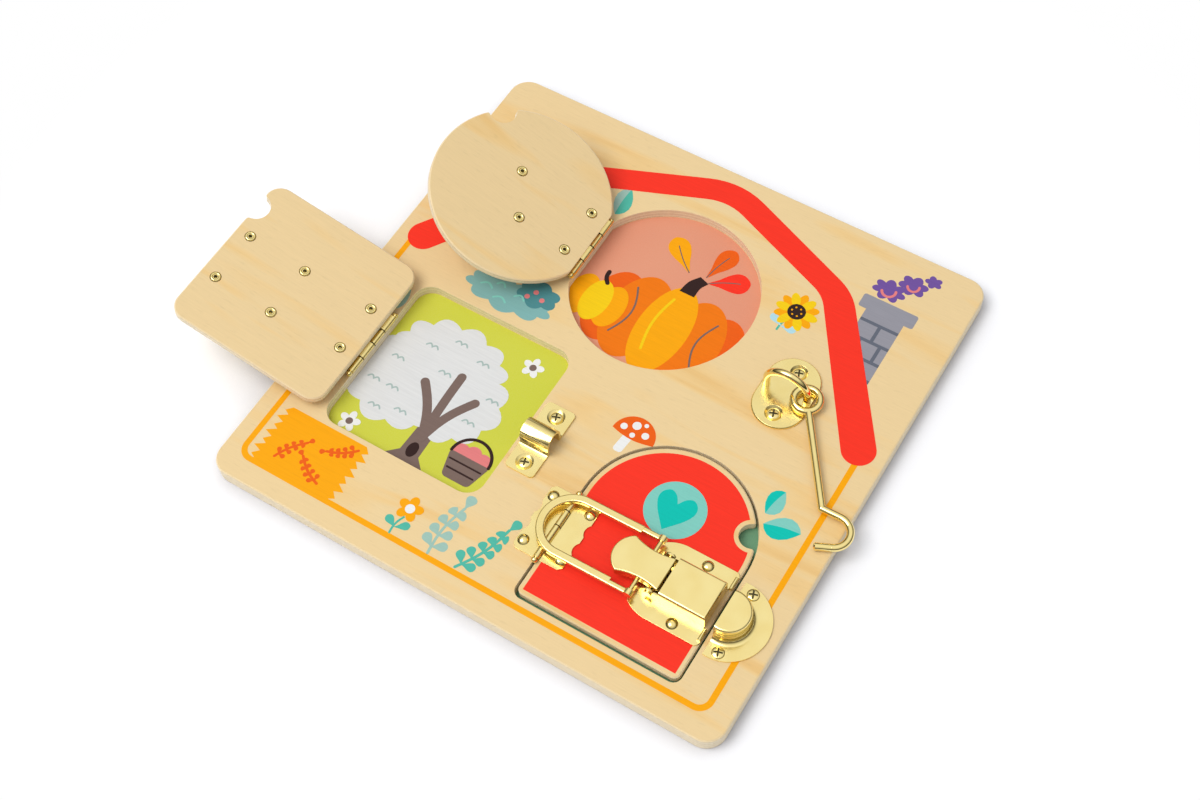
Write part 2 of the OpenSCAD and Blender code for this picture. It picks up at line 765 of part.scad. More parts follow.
// Folded housing: a lid over the right half and two cheeks that carry the lever pin
module latch_housing() {
  h = latch_top - base_t;
  round_top = 1.6;
  fold_r = 1.3;
  length = housing_x[1] - housing_x[0];
  middle = (housing_x[0] + housing_x[1]) / 2;
  color(brass) translate([0, latch_y, face + base_t]) difference() {
    union() {
      // lid with its rounded long edges, folded down in a round at its far end
      intersection() {
        translate([middle, 0, 0]) rotate([90, 0, 90]) linear_extrude(length, center = true) {
          translate([-housing_half, 0]) square([2 * housing_half, h - round_top]);
          translate([round_top - housing_half, 0]) square([2 * (housing_half - round_top), h]);
          for (s = [-1, 1]) translate([s * (housing_half - round_top), h - round_top]) circle(round_top);
        }
        rotate([90, 0, 0]) linear_extrude(2 * through, center = true) {
          translate([housing_x[0] - 1, -1]) square([length + 1, h - fold_r + 1]);
          translate([housing_x[0] - 1, -1]) square([length + 1 - fold_r, h + 2]);
          translate([housing_x[1] - fold_r, h - fold_r]) circle(fold_r);
        }
      }
      // cheeks
      for (s = [-1, 1]) translate([0, s * (housing_half - sheet_t / 2), 0]) rotate([90, 0, 0])
        linear_extrude(sheet_t, center = true) {
          translate([lever_x - 3.6, 0]) square([housing_x[0] - lever_x + 5, lever_z - base_t]);
          translate([lever_x, lever_z - base_t]) circle(3.6);
          translate([lever_x, 0]) square([housing_x[0] - lever_x + 1, lever_z - base_t + 2.2]);
        }
    }
    // hollow, open towards the lever
    translate([housing_x[0] - 20, 0, -1]) rotate([90, 0, 90]) linear_extrude(length + 20 - sheet_t) {
      translate([sheet_t - housing_half, 0]) square([2 * (housing_half - sheet_t), h - sheet_t + 1]);
    }
    translate([lever_x, 0, lever_z - base_t]) rotate([90, 0, 0]) cylinder(h = 2 * through, r = lever_pin_r, center = true);
  }
}

module latch_rivets() {
  color(brass) at_latch_rivets() door_rivet(base_t);
}

module lever_pin() {
  head = 0.9;
  half = housing_half + head;
  color(brass) translate([lever_x, latch_y, face + lever_z]) rotate([90, 0, 0]) {
    cylinder(h = 2 * housing_half, r = lever_pin_r, center = true);
    for (s = [-1, 1]) translate([0, 0, s * (half - head / 2)]) cylinder(h = head, r = 2.1, center = true);
  }
}

// Lever: a thumb tab with a round nose, a drawn-in waist and a turned-down skirt, and two
// cheeks that carry the pins
module latch_lever() {
  tail_x = 87.8;
  top = latch_top - 0.2;
  tab_t = 1.2;
  cheek_t = 1;
  cheek_y = 8;
  cheek_low = 4.4;
  color(brass) translate([0, latch_y, face]) difference() {
    union() {
      translate([0, 0, top - tab_t]) linear_extrude(tab_t) tab_outline(tail_x, 0);
      // skirt under the nose and the waist, deepest by the cheeks
      intersection() {
        translate([0, 0, cheek_low]) linear_extrude(top - tab_t / 2 - cheek_low) difference() {
          tab_outline(tail_x, 0);
          tab_outline(tail_x, 1);
        }
        rotate([90, 0, 0]) linear_extrude(40, center = true)
          polygon([[56, top], [56, top - 2.2], [61, top - 3.4], [66, cheek_low + 0.2], [73, cheek_low], [73, top]]);
      }
      // cheeks under the tab
      for (s = [-1, 1]) translate([0, s * (cheek_y - cheek_t / 2), 0]) rotate([90, 0, 0])
        linear_extrude(cheek_t, center = true) {
          translate([72, cheek_low]) square([tail_x - 72 - 0.6, top - tab_t - cheek_low + eps]);
          translate([lever_x, lever_z]) circle(2.9);
          translate([bail_x, bail_z]) circle(2.3);
        }
    }
    translate([lever_x, 0, lever_z]) rotate([90, 0, 0]) cylinder(h = 2 * through, r = lever_pin_r + 0.05, center = true);
    translate([bail_x, 0, bail_z]) rotate([90, 0, 0]) cylinder(h = 2 * through, r = bail_pin_r + 0.05, center = true);
  }
}

// Outline of the lever's tab, drawn in by d
module tab_outline(tail_x, d) {
  nose_r = 12;
  nose_x = 57.7;
  nose_half = 10.6;
  shoulder_x = 64.3;
  tail_half = 9.5;
  waist_half = 8.2;
  waist_x = 77;
  waist_r = 34;
  difference() {
    union() {
      intersection() {
        translate([nose_x + nose_r, 0]) circle(nose_r - d);
        translate([nose_x, d - nose_half]) square([shoulder_x - nose_x + 2, 2 * (nose_half - d)]);
      }
      translate([shoulder_x, d - nose_half]) square([tail_x - shoulder_x, 2 * (nose_half - d)]);
    }
    for (s = [-1, 1]) {
      translate([waist_x, s * (waist_half + waist_r)]) circle(waist_r + d, $fn = 128);
      translate([(waist_x + tail_x) / 2, s * (tail_half - d + 5)]) square([tail_x - waist_x + 4, 10], center = true);
    }
  }
}

// Bail: a U of flat bar whose flattened ends turn in as pivots
module latch_bail() {
  mid_r = (bail_inner + bail_bar) / 2;
  loop_mid = bail_reach - bail_bar / 2 - mid_r;   // from the pivot to the middle of the loop
  step = 11;                                      // the bar thins this far from the pivot
  thin_w = 3;
  thin_t = 2.2;
  end_r = 2.2;
  color(brass) translate([bail_x, latch_y, face + bail_z]) rotate([0, -bail_drop, 0]) {
    // loop
    translate([-loop_mid, 0, 0]) rotate([0, 0, 90]) rotate_extrude(angle = 180)
      translate([mid_r, 0]) bar_section(bail_bar, bail_thick);
    for (s = [-1, 1]) {
      // arm
      translate([-loop_mid, s * mid_r, 0]) rotate([90, 0, 90])
        linear_extrude(loop_mid - step) bar_section(bail_bar, bail_thick);
      // flattened end round the pivot
      translate([-step, s * (mid_r + (bail_bar - thin_w) / 2 - 0.1), 0]) {
        rotate([90, 0, 90]) linear_extrude(step) bar_section(thin_w, thin_t);
        translate([step, 0, 0]) rotate([90, 0, 0]) cylinder(h = thin_w, r = end_r, center = true);
      }
      // pivot turned in through the lever's cheek
      translate([0, s * 6.6, 0]) rotate([s * -90, 0, 0])
        cylinder(h = mid_r + (bail_bar - thin_w) / 2 - 6.6, r = bail_pin_r);
    }
  }
}

// Section of a bar with rounded corners
module bar_section(w, t) {
  r = 0.9;
  square([w - 2 * r, t], center = true);
  square([w, t - 2 * r], center = true);
  for (sx = [-1, 1], sy = [-1, 1]) translate([sx * (w / 2 - r), sy * (t / 2 - r)]) circle(r, $fn = 24);
}

// ---------------------------------------------------------------- hook

// Bent wire hook: eye round the staple's leg, straight shank, sharp corner and round bend
module hook() {
  bevel = 0.8;
  color(brass) translate([hook_mid[0] + staple_span / 2, hook_mid[1], face + hook_z])
    rotate([0, 0, hook_turn]) rotate([0, hook_tilt, 0]) {
      rotate_extrude() translate([eye_r, 0]) circle(wire_r, $fn = 32);
      translate([eye_r, 0, 0]) rotate([0, 90, 0]) cylinder(h = hook_shank - eye_r, r = wire_r);
      translate([hook_shank, 0, 0]) {
        rotate([0, 90, 0]) sphere(wire_r + 0.05);
        rotate([0, 0, hook_corner]) {
          rotate([0, 90, 0]) cylinder(h = hook_run, r = wire_r);
          translate([hook_run, -bend_r, 0]) rotate([0, 0, 90]) mirror([0, 1, 0]) {
            rotate_extrude(angle = bend_sweep) translate([bend_r, 0]) circle(wire_r, $fn = 32);
            rotate([0, 0, bend_sweep]) translate([bend_r, 0, 0]) rotate([-90, 0, 0]) {
              sphere(wire_r + 0.04);
              cylinder(h = tip_len - bevel, r = wire_r);
              translate([0, 0, tip_len - bevel]) cylinder(h = bevel, r1 = wire_r, r2 = wire_r - bevel);
            }
          }
        }
      }
    }
}

back_board();
front_board();
square_picture();
round_picture();
arched_picture();
square_hinge_frame_leaf();
round_hinge_frame_leaf();
arched_hinge_frame_leaf();
square_hinge_pin();
round_hinge_pin();
arched_hinge_pin();
hinge_frame_rivets();
bolt_keeper();
keeper_screws();
hook_plate();
hook_staple();
hook_plate_screws();
catch();
catch_screws();
square_door();
square_hinge_door_leaf();
square_hinge_rivets();
bolt_plate();
bolt_rivets();
bolt_rod();
bolt_knob();
round_door();
round_hinge_door_leaf();
round_hinge_rivets();
eye_plate();
eye_staple();
eye_rivets();
arched_door();
arched_hinge_door_leaf();
arched_hinge_rivets();
latch_base();
latch_housing();
latch_rivets();
lever_pin();
latch_lever();
latch_bail();
hook();
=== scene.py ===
"""Dresses the wooden busy board: birch ply, printed pictures and polished brass hardware.

The pictures and the hardware's details are written in millimetres in the board's own frame:
origin at the centre of the board's back, +X right, +Y to the top of the barn roof, +Z out of
the face. Doors are dressed as they are when shut, and then turned to where they rest.
"""

import json
import math

import bmesh
import bpy
from mathutils import Matrix, Vector
from mathutils.geometry import tessellate_polygon


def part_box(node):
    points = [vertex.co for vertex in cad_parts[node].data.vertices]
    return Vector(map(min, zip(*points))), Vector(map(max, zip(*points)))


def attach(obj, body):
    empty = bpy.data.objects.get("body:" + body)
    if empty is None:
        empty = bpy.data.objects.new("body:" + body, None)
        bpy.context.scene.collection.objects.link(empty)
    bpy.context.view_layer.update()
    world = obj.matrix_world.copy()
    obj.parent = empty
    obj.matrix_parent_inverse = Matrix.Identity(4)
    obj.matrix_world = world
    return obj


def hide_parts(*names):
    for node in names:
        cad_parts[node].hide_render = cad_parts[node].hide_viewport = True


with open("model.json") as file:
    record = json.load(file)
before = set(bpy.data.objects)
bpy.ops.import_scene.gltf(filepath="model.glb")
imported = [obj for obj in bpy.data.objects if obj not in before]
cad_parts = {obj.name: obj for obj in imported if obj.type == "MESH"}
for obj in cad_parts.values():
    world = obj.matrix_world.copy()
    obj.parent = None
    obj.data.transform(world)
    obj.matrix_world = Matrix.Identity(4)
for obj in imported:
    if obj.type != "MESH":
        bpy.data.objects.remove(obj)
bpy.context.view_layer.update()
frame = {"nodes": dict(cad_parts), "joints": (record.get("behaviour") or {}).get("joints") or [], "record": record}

MM = 0.001
JOINT = {joint["name"]: joint for joint in frame["joints"]}
BODY_OF = {node: body for body, nodes in frame["record"]["behaviour"]["bodies"].items() for node in nodes}

# ---------- heights and layers, in millimetres

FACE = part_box("front_board")[1].z / MM  # height of the printed face
DOOR_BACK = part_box("arched_door")[0].z / MM  # height of a shut door's back
CARD_T = 0.04  # thickness of a picture's bare card
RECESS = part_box("square_picture")[0].z / MM + CARD_T  # height of the bare cards' top
INK = 0.035  # thickness of one layer of ink
OVERPRINT = 0.002  # step between shapes of one layer that cross
PLY = 1.15  # thickness of one veneer

# ---------- colours, as seen

HONEY = (0.908, 0.798, 0.596)
HONEY_MID = (0.915, 0.78, 0.545)
HONEY_DARK = (0.9, 0.745, 0.49)
EDGE_LIGHT = (0.955, 0.895, 0.77)
EDGE_DARK = (0.865, 0.785, 0.645)
GLUE = (0.62, 0.5, 0.36)
BRASS = (0.97, 0.896, 0.625)
PAPER = (0.93, 0.93, 0.92)
INK_COLOURS = {
    "red": (0.975, 0.205, 0.13),
    "orange": (0.975, 0.655, 0.0),
    "deep_orange": (0.925, 0.375, 0.06),
    "yellow": (0.96, 0.8, 0.06),
    "teal": (0.0, 0.755, 0.695),
    "pale_teal": (0.505, 0.795, 0.745),
    "sprig": (0.32, 0.72, 0.64),
    "pale_sprig": (0.62, 0.76, 0.71),
    "dusty_teal": (0.5, 0.7, 0.69),
    "dark_teal": (0.3, 0.54, 0.56),
    "slate": (0.585, 0.58, 0.615),
    "mortar": (0.39, 0.41, 0.46),
    "purple": (0.44, 0.32, 0.61),
    "pumpkin": (0.94, 0.47, 0.03),
    "pink": (0.89, 0.5, 0.5),
    "white": (0.93, 0.93, 0.92),
    "pale_blue": (0.7, 0.86, 0.9),
    "blossom": (0.872, 0.872, 0.868),
    "shadow_white": (0.66, 0.735, 0.715),
    "bark": (0.48, 0.4, 0.37),
    "dark": (0.19, 0.11, 0.1),
}
# card of each picture: its material slot, its colour and the deeper colour of its patches
CARDS = {
    "square_picture": ("lime_card", (0.8, 0.805, 0.225), (0.77, 0.79, 0.18)),
    "round_picture": ("salmon_card", (0.88, 0.59, 0.46), (0.86, 0.545, 0.425)),
    "arched_picture": ("green_card", (0.4, 0.6, 0.46), (0.36, 0.55, 0.42)),
}

# ---------- grain, in waves per metre along X, Y and Z

FIGURE = (7, 55, 55)
FIGURE_LEAN = 3  # degrees between the wood's figure and X
FIBRES = (60, 1400, 900)
FLECKS = (150, 700, 400)
PORES = (900, 900, 300)
PRINTED_FIBRES = (60, 1100, 900)
BRASS_WAVES = (90, 90, 90)
BRASS_PEBBLES = (1100, 1100, 1100)
CARD_PATCHES = (14, 14, 14)
CARD_GRAIN = (1500, 1500, 1500)

# ---------- wood and hardware, in millimetres

# width of the round on the edges of each wooden and each stamped part
WOODEN = {"back_board": 0.25, "front_board": 0.7, "square_door": 0.7, "round_door": 0.7, "arched_door": 0.5}
HINGE_LEAVES = ["%s_hinge_%s_leaf" % (door, side) for door in ("square", "round", "arched")
                for side in ("frame", "door")]
STAMPED = {
    "bolt_keeper": 0.25, "hook_plate": 0.25, "catch": 0.2, "latch_base": 0.2, "latch_housing": 0.3,
    "latch_lever": 0.25, "latch_bail": 0.2, **dict.fromkeys(HINGE_LEAVES, 0.3),
}
ROUND_FROM = 40  # degrees between two faces from which their edge is rounded

# radius of the rolled rim round a part's flat top, how far under the top an edge still belongs to the
# rim, and the degrees between two faces from which it does
CROWNS = {"latch_lever": 0.75, "latch_housing": 0.6}
CROWN_DEPTH = 0.3
CROWN_FROM = 60

# screws: their middles, the height of their seat over the face and the rise of their head
SCREWS = {
    "keeper_screws": (((-8.7, -36.6), (-8.7, -67.0)), 0.3, 1.0),
    "hook_plate_screws": (((87.0, 50.1), (87.0, 22.1)), 0.2, 1.0),
    "catch_screws": (((127.4, -72.8), (127.4, -107.6)), 1.0, 1.1),
}
SHANK_R, SHANK_DEEP = 1.4, 5.5  # the depth is under the face
HEAD_R, HEAD_RIM, HEAD_ROUND = 3.3, 0.15, 0.07
HEAD_STEPS = 6  # facets of a head's dome from its rim to its top
CROSS_LONG, CROSS_WIDE, CROSS_DEEP = 4.6, 0.95, 0.6
CROSS_TURN = 20  # degrees between a cross and X

# plates whose screws are sunk in dimples: the screws and the plate's thickness
SUNK_PLATES = {"bolt_keeper": ("keeper_screws", 1.3), "hook_plate": ("hook_plate_screws", 1.5)}
DIMPLE_R = 4.8
DIMPLE_GAP = 0.15  # room round a head at the dimple's floor
CUTTER_OVER, CUTTER_FLARE = 1.0, 0.8  # what a dimple's cutter has above and beyond the plate

# the open doors' rivet tails: the rivets' middles when the door is shut
TAILS = {
    "square_door": ((-106.3, -34.4), (-106.3, -62.6), (-65.1, -36.6), (-65.1, -67.0), (-29.5, -36.6),
                    (-29.5, -67.0)),
    "round_door": ((-38.1, 77.7), (-38.1, 49.5), (6.0, 73.4), (-8.0, 49.2)),
}
# rings of painted shade at a tail: inner and outer radius, lowest and highest height over the door's back
TAIL_SHADE_RINGS = {"seat_shade": (2.75, 3.1, -0.05, 0.1), "bore_shade": (0.6, 1.09, 0.2, 0.5)}

# hinge knuckles, and the rings of painted shade in the seams between them: radii, distance from the seam and width
KNUCKLE_LONG = 9.9
SEAM_SHADE_INNER_R, SEAM_SHADE_R = 1.5, 1.77
SEAM_SHADE_START, SEAM_SHADE_WIDE = 0.1, 0.45

# CAD nodes of polished wire and turned pins; the other metal is stamped sheet
POLISHED = ("hook", "hook_staple", "eye_staple", "bolt_rod", "bolt_knob")
POLISHED_ENDINGS = ("_rivets", "_pin")

# ---------- floor, light and camera

FLOOR_HALF = 6.0  # metres from the middle of the floor to its sides
FLOOR_COLOUR = (0.86, 0.87, 0.9, 1.0)  # scene-linear, for the light that the floor sends back
FLOOR_SEEN = (1.01, 1.012, 1.035, 1.0)  # scene-linear, for what is seen: white under the softbox
PAINTED_CONTACT_SHADE = (0.8, 0.805, 0.83)  # painted shade of the floor right beside the part, as seen
CONTACT_REACH = 0.03  # metres over which that shade fades
WHITE_FROM, WHITE_TO = 0.22, 0.38  # metres from the origin over which the floor turns white
LEVEL_COLOUR, LEVEL = (0.95, 0.97, 1.0, 1.0), 0.62  # even light of the studio
# what metal reflects of the studio: height of the direction, scene-linear colour
REFLECTED = (
    (0.0, (0.05, 0.045, 0.03)),
    (0.28, (0.08, 0.075, 0.055)),
    (0.55, (0.46, 0.45, 0.41)),
    (0.8, (0.92, 0.92, 0.905)),
    (0.9, (0.95, 0.95, 0.935)),
    (0.94, (1.0, 1.0, 1.0)),
)
SOFTBOX_PLACE = (-1.33, -1.44, 3.68)
SOFTBOX_SIDE = 2.56
SOFTBOX_WATTS = 105.0
SOFTBOX_COLOUR = (1.0, 0.985, 0.96)
CAMERA_PLACE = Vector((0.26573, -0.3917, 0.78151))
CAMERA_AIM = Vector((0.00512, -0.01577, 0.01))
CAMERA_ROLL = -3.842
CAMERA_LENS, CAMERA_SENSOR = 51.62, 36.0
CAMERA_NEAR = 0.01


# ---------- materials

def linear(colour):
    """Scene-linear value of a colour written as it looks on a screen."""
    low = [c / 12.92 if c <= 0.04045 else ((c + 0.055) / 1.055) ** 2.4 for c in colour]
    return (*low, 1.0)


def colour_ramp(tree, fac, stops):
    """Colour ramp through (position, scene-linear colour) stops."""
    node = tree.nodes.new("ShaderNodeValToRGB")
    elements = node.color_ramp.elements
    while len(elements) < len(stops):
        elements.new(0.5)
    for element, (position, colour) in zip(elements, stops):
        element.position = position
        element.color = colour
    tree.links.new(fac, node.inputs["Fac"])
    return node.outputs["Color"]


def mix_shaders(tree, fac, first, second):
    """The first shader where the factor is 0, the second where it is 1."""
    node = tree.nodes.new("ShaderNodeMixShader")
    for socket, output in zip(node.inputs, (fac, first, second)):
        tree.links.new(output, socket)
    return node.outputs["Shader"]


class Shader:
    """A node material with its Principled shader and short ways to add nodes."""

    def __init__(self, name):
        self.material = bpy.data.materials.new(name)
        self.material.use_nodes = True
        self.tree = self.material.node_tree
        self.main = self.tree.nodes["Principled BSDF"]
        self.coords = self.new("TexCoord")

    def new(self, kind):
        return self.tree.nodes.new("ShaderNode" + kind)

    def set(self, **values):
        for name, value in values.items():
            self.main.inputs[name.replace("_", " ")].default_value = value

    def link(self, out, into):
        self.tree.links.new(out, into)

    def fill(self, socket, value):
        """Gives a socket a constant or the output of another node."""
        if isinstance(value, (int, float, tuple)):
            socket.default_value = value
        else:
            self.link(value, socket)

    def math(self, kind, a, b=None):
        node = self.new("Math")
        node.operation = kind
        self.fill(node.inputs[0], a)
        if b is not None:
            self.fill(node.inputs[1], b)
        return node.outputs[0]

    def noise(self, waves, detail=3.0, rough=0.5, warp=0.0, turn=0):
        """Noise of so many waves per metre along each axis, turned about Z by degrees."""
        place = self.new("Mapping")
        place.inputs["Scale"].default_value = waves
        place.inputs["Rotation"].default_value = (0, 0, math.radians(turn))
        self.link(self.coords.outputs["Object"], place.inputs["Vector"])
        node = self.new("TexNoise")
        node.inputs["Scale"].default_value = 1.0
        node.inputs["Detail"].default_value = detail
        node.inputs["Roughness"].default_value = rough
        node.inputs["Distortion"].default_value = warp
        self.link(place.outputs["Vector"], node.inputs["Vector"])
        return node.outputs["Fac"]

    def steps(self, fac, *stops):
        """Colour ramp through (position, colour as seen) stops."""
        return colour_ramp(self.tree, fac, [(position, linear(colour)) for position, colour in stops])

    def spread(self, fac, low, high, to_low=0.0, to_high=1.0):
        """Stretches the range from low to high over the other one."""
        node = self.new("MapRange")
        sockets = ("From Min", "From Max", "To Min", "To Max")
        for name, value in zip(sockets, (low, high, to_low, to_high)):
            node.inputs[name].default_value = value
        self.link(fac, node.inputs["Value"])
        return node.outputs["Result"]

    def mix(self, fac, a, b, blend="MIX"):
        node = self.new("Mix")
        node.data_type = "RGBA"
        node.blend_type = blend
        for name, value in zip(("Factor", "A", "B"), (fac, a, b)):
            self.fill(node.inputs[name], value)
        return node.outputs["Result"]

    def grey(self, value):
        """A colour whose three channels are the value."""
        node = self.new("CombineColor")
        for socket in node.inputs[:3]:
            self.link(value, socket)
        return node.outputs["Color"]

    def bump(self, height, strength, distance):
        node = self.new("Bump")
        node.inputs["Strength"].default_value = strength
        node.inputs["Distance"].default_value = distance
        self.link(height, node.inputs["Height"])
        self.link(node.outputs["Normal"], self.main.inputs["Normal"])

    def axis(self, output, name):
        """One axis of the object or normal coordinates."""
        node = self.new("SeparateXYZ")
        self.link(self.coords.outputs[output], node.inputs["Vector"])
        return node.outputs[name]


def ply_face(s, fibres):
    """Colour of a ply's face: a slow figure along X, fine fibres and darker flecks."""
    figure = s.noise(FIGURE, detail=2.0, rough=0.45, warp=0.8, turn=FIGURE_LEAN)
    flecks = s.noise(FLECKS, detail=1.0)
    colour = s.steps(s.spread(figure, 0.3, 0.72), (0.0, HONEY), (0.55, HONEY), (0.8, HONEY_MID),
                     (1.0, HONEY_DARK))
    fibre_shade = s.spread(fibres, 0.25, 0.75, 0.965, 1.025)
    fleck_shade = s.spread(flecks, 0.6, 0.8, 1.0, 0.94)
    return s.mix(1.0, colour, s.grey(s.math("MULTIPLY", fibre_shade, fleck_shade)), blend="MULTIPLY")


def ply_edge(s):
    """Colour of a ply's edge: paler and darker veneers by turns, with thin glue lines between them."""
    sheet = s.math("DIVIDE", s.axis("Object", "Z"), PLY * MM)
    part = s.math("FRACT", sheet)
    parity = s.math("FRACT", s.math("MULTIPLY", s.math("FLOOR", sheet), 0.5))
    pores = s.noise(PORES, detail=2.0)
    tone = s.math("ADD", s.math("MULTIPLY", parity, 1.1), s.spread(pores, 0.3, 0.7, -0.12, 0.25))
    veneers = s.steps(tone, (0.0, EDGE_LIGHT), (1.0, EDGE_DARK))
    glue = s.spread(s.math("ABSOLUTE", s.math("SUBTRACT", part, 0.5)), 0.42, 0.48, 0.0, 0.55)
    return s.mix(glue, veneers, linear(GLUE))


def birch():
    """Varnished birch ply: grain along X on the faces, veneers on the edges."""
    s = Shader("birch_ply")
    s.set(Roughness=0.42, Specular_IOR_Level=0.3)
    fibres = s.noise(FIBRES, rough=0.6)
    on_face = s.spread(s.math("ABSOLUTE", s.axis("Normal", "Z")), 0.55, 0.8)
    s.link(s.mix(on_face, ply_edge(s), ply_face(s, fibres)), s.main.inputs["Base Color"])
    s.bump(fibres, 0.05, 0.0002)
    return s.material


def brass(name, roughness, grain, tone=1.0):
    """Pale brass plating: fine pebbled grain of the plated sheet, and a slow unevenness."""
    s = Shader(name)
    s.set(Metallic=1.0)
    waves = s.noise(BRASS_WAVES, detail=1.0)
    pebbles = s.noise(BRASS_PEBBLES, detail=2.0, rough=0.6)
    plain = tuple(c * tone for c in BRASS)
    deeper = tuple(c * k for c, k in zip(plain, (0.985, 0.97, 0.93)))
    s.link(s.steps(waves, (0.3, plain), (0.7, deeper)), s.main.inputs["Base Color"])
    s.link(s.spread(pebbles, 0.3, 0.7, roughness * 0.85, roughness * 1.2), s.main.inputs["Roughness"])
    s.bump(s.math("ADD", s.math("MULTIPLY", waves, 2.0), s.math("MULTIPLY", pebbles, grain)), 0.25, 0.0001)
    return s.material


def card(name, colour, deeper):
    """Printed card: a soft colour with a paper grain, a little deeper in patches."""
    s = Shader(name)
    s.set(Roughness=0.55, Specular_IOR_Level=0.2)
    patches = s.noise(CARD_PATCHES, detail=1.0)
    grain = s.noise(CARD_GRAIN, detail=2.0)
    base = s.steps(s.spread(patches, 0.3, 0.8), (0.0, colour), (1.0, deeper))
    s.link(s.mix(s.spread(grain, 0.2, 0.8, 0.0, 0.06), base, linear(PAPER)), s.main.inputs["Base Color"])
    s.bump(grain, 0.04, 0.0001)
    return s.material


def ink(name, colour):
    """Screen-printed ink: even colour over wood, with the grain telling through it."""
    s = Shader(name)
    s.set(Roughness=0.45, Specular_IOR_Level=0.15)
    fibres = s.noise(PRINTED_FIBRES, rough=0.6)
    deeper = tuple(c * 0.96 for c in colour)
    s.link(s.steps(s.spread(fibres, 0.3, 0.75), (0.0, colour), (1.0, deeper)), s.main.inputs["Base Color"])
    s.bump(fibres, 0.05, 0.0001)
    return s.material


WOOD = birch()
METAL = brass("stamped_brass", roughness=0.22, grain=0.5)
WIRE = brass("brass_wire", roughness=0.07, grain=0.06)
# painted shade: darker brass that stands in for the shade in the screws' crosses, round the rivet tails and in the
# hinges' seams
SHADE = brass("painted_shade_brass", roughness=0.5, grain=0.1, tone=0.35)
INKS = {}


def ink_of(colour_name):
    """The ink material of a named colour, made once."""
    if colour_name not in INKS:
        INKS[colour_name] = ink("ink_" + colour_name, INK_COLOURS[colour_name])
    return INKS[colour_name]


# ---------- outlines, in millimetres

def polar(middle, radius, degrees):
    a = math.radians(degrees)
    return (middle[0] + radius * math.cos(a), middle[1] + radius * math.sin(a))


def quarter_left(vector):
    """The vector turned a quarter to its left."""
    return Vector((-vector.y, vector.x))


def arc(middle, radius, start, end, step=6):
    """Points on an arc, both ends included."""
    n = max(2, round(abs(end - start) / step))
    return [polar(middle, radius, start + (end - start) * i / n) for i in range(n + 1)]


def ellipse(middle, rx, ry, turn=0, n=48):
    t = math.radians(turn)
    points = []
    for i in range(n):
        a = 2 * math.pi * i / n
        x, y = rx * math.cos(a), ry * math.sin(a)
        points.append((middle[0] + x * math.cos(t) - y * math.sin(t),
                       middle[1] + x * math.sin(t) + y * math.cos(t)))
    return points


def circle(middle, radius):
    return ellipse(middle, radius, radius)


def rounded(points, radii):
    """A polygon with one radius for all its corners or one for each; 0 leaves a corner sharp."""
    out = []
    n = len(points)
    for i in range(n):
        p = Vector(points[i])
        radius = radii[i] if isinstance(radii, list) else radii
        if not radius:
            out.append(tuple(p))
            continue
        a, b = Vector(points[i - 1]) - p, Vector(points[(i + 1) % n]) - p
        half = a.angle(b) / 2
        reach = radius / math.tan(half)
        start, end = p + a.normalized() * reach, p + b.normalized() * reach
        middle = p + (a.normalized() + b.normalized()).normalized() * radius / math.sin(half)
        a0, a1 = (math.atan2(q.y - middle.y, q.x - middle.x) for q in (start, end))
        turn = (a1 - a0 + math.pi) % (2 * math.pi) - math.pi
        count = max(2, round(abs(math.degrees(turn)) / 6))
        out += [polar(middle, radius, math.degrees(a0 + turn * k / count)) for k in range(count + 1)]
    return out


def span(p0, p1, p2, p3, count):
    """Points from p1 to just before p2 on the smooth curve through all four."""
    out = []
    for k in range(count):
        t = k / count
        out.append(tuple(0.5 * (2 * p1 + (p2 - p0) * t + (2 * p0 - 5 * p1 + 4 * p2 - p3) * t * t
                                + (3 * p1 - p0 - 3 * p2 + p3) * t ** 3)))
    return out


def smooth(points, per_span=5):
    """Closed curve through the points."""
    n = len(points)
    out = []
    for i in range(n):
        out += span(*(Vector(points[(i + k) % n]) for k in (-1, 0, 1, 2)), per_span)
    return out


def curve(points, per_span=6):
    """Open curve through the points."""
    first, last = Vector(points[0]), Vector(points[-1])
    ends = [tuple(2 * first - Vector(points[1]))] + list(points) + [tuple(2 * last - Vector(points[-2]))]
    out = []
    for i in range(len(points) - 1):
        out += span(*(Vector(ends[i + k]) for k in range(4)), per_span)
    return out + [tuple(points[-1])]


def heart(middle, size):
    """Upright heart of about the given half width."""
    side = [(0, 0.36), (0.28, 0.78), (0.66, 0.95), (1.01, 0.68), (1.07, 0.22), (0.79, -0.34),
            (0.38, -0.84), (0, -1.28)]
    right = curve([(x * size, y * size) for x, y in side])
    left = [(-x, y) for x, y in right[-2:0:-1]]
    return [(middle[0] + x, middle[1] + y) for x, y in right + left]


def line(points, width, blunt=False):
    """Outline of a stroke along the points, with round ends, or with square ones where it is blunt."""
    half = width / 2
    least_mitre = 0.3
    end_step = 20
    pts = [Vector(p) for p in points]
    left, right = [], []
    for i, p in enumerate(pts):
        side = quarter_left((pts[min(i + 1, len(pts) - 1)] - pts[max(i - 1, 0)]).normalized())
        if 0 < i < len(pts) - 1:
            ahead = (pts[i + 1] - p).normalized()
            side /= max(least_mitre, side.dot(quarter_left(ahead)))
        left.append(tuple(p + side * half))
        right.append(tuple(p - side * half))
    if blunt:
        return left + right[::-1]
    last = pts[-1] - pts[-2]
    first = pts[1] - pts[0]
    heading = math.degrees(math.atan2(last.y, last.x))
    tail = math.degrees(math.atan2(first.y, first.x))
    return (left[:-1] + arc(pts[-1], half, heading + 90, heading - 90, end_step)
            + right[::-1][1:-1] + arc(pts[0], half, tail - 90, tail - 270, end_step))


def bow(start, end, bulge, n=12):
    """Points on a shallow arc from start to end, bulging to the left."""
    a, b = Vector(start), Vector(end)
    side = quarter_left(b - a).normalized()
    return [tuple(a.lerp(b, i / n) + side * bulge * math.sin(math.pi * i / n)) for i in range(n + 1)]


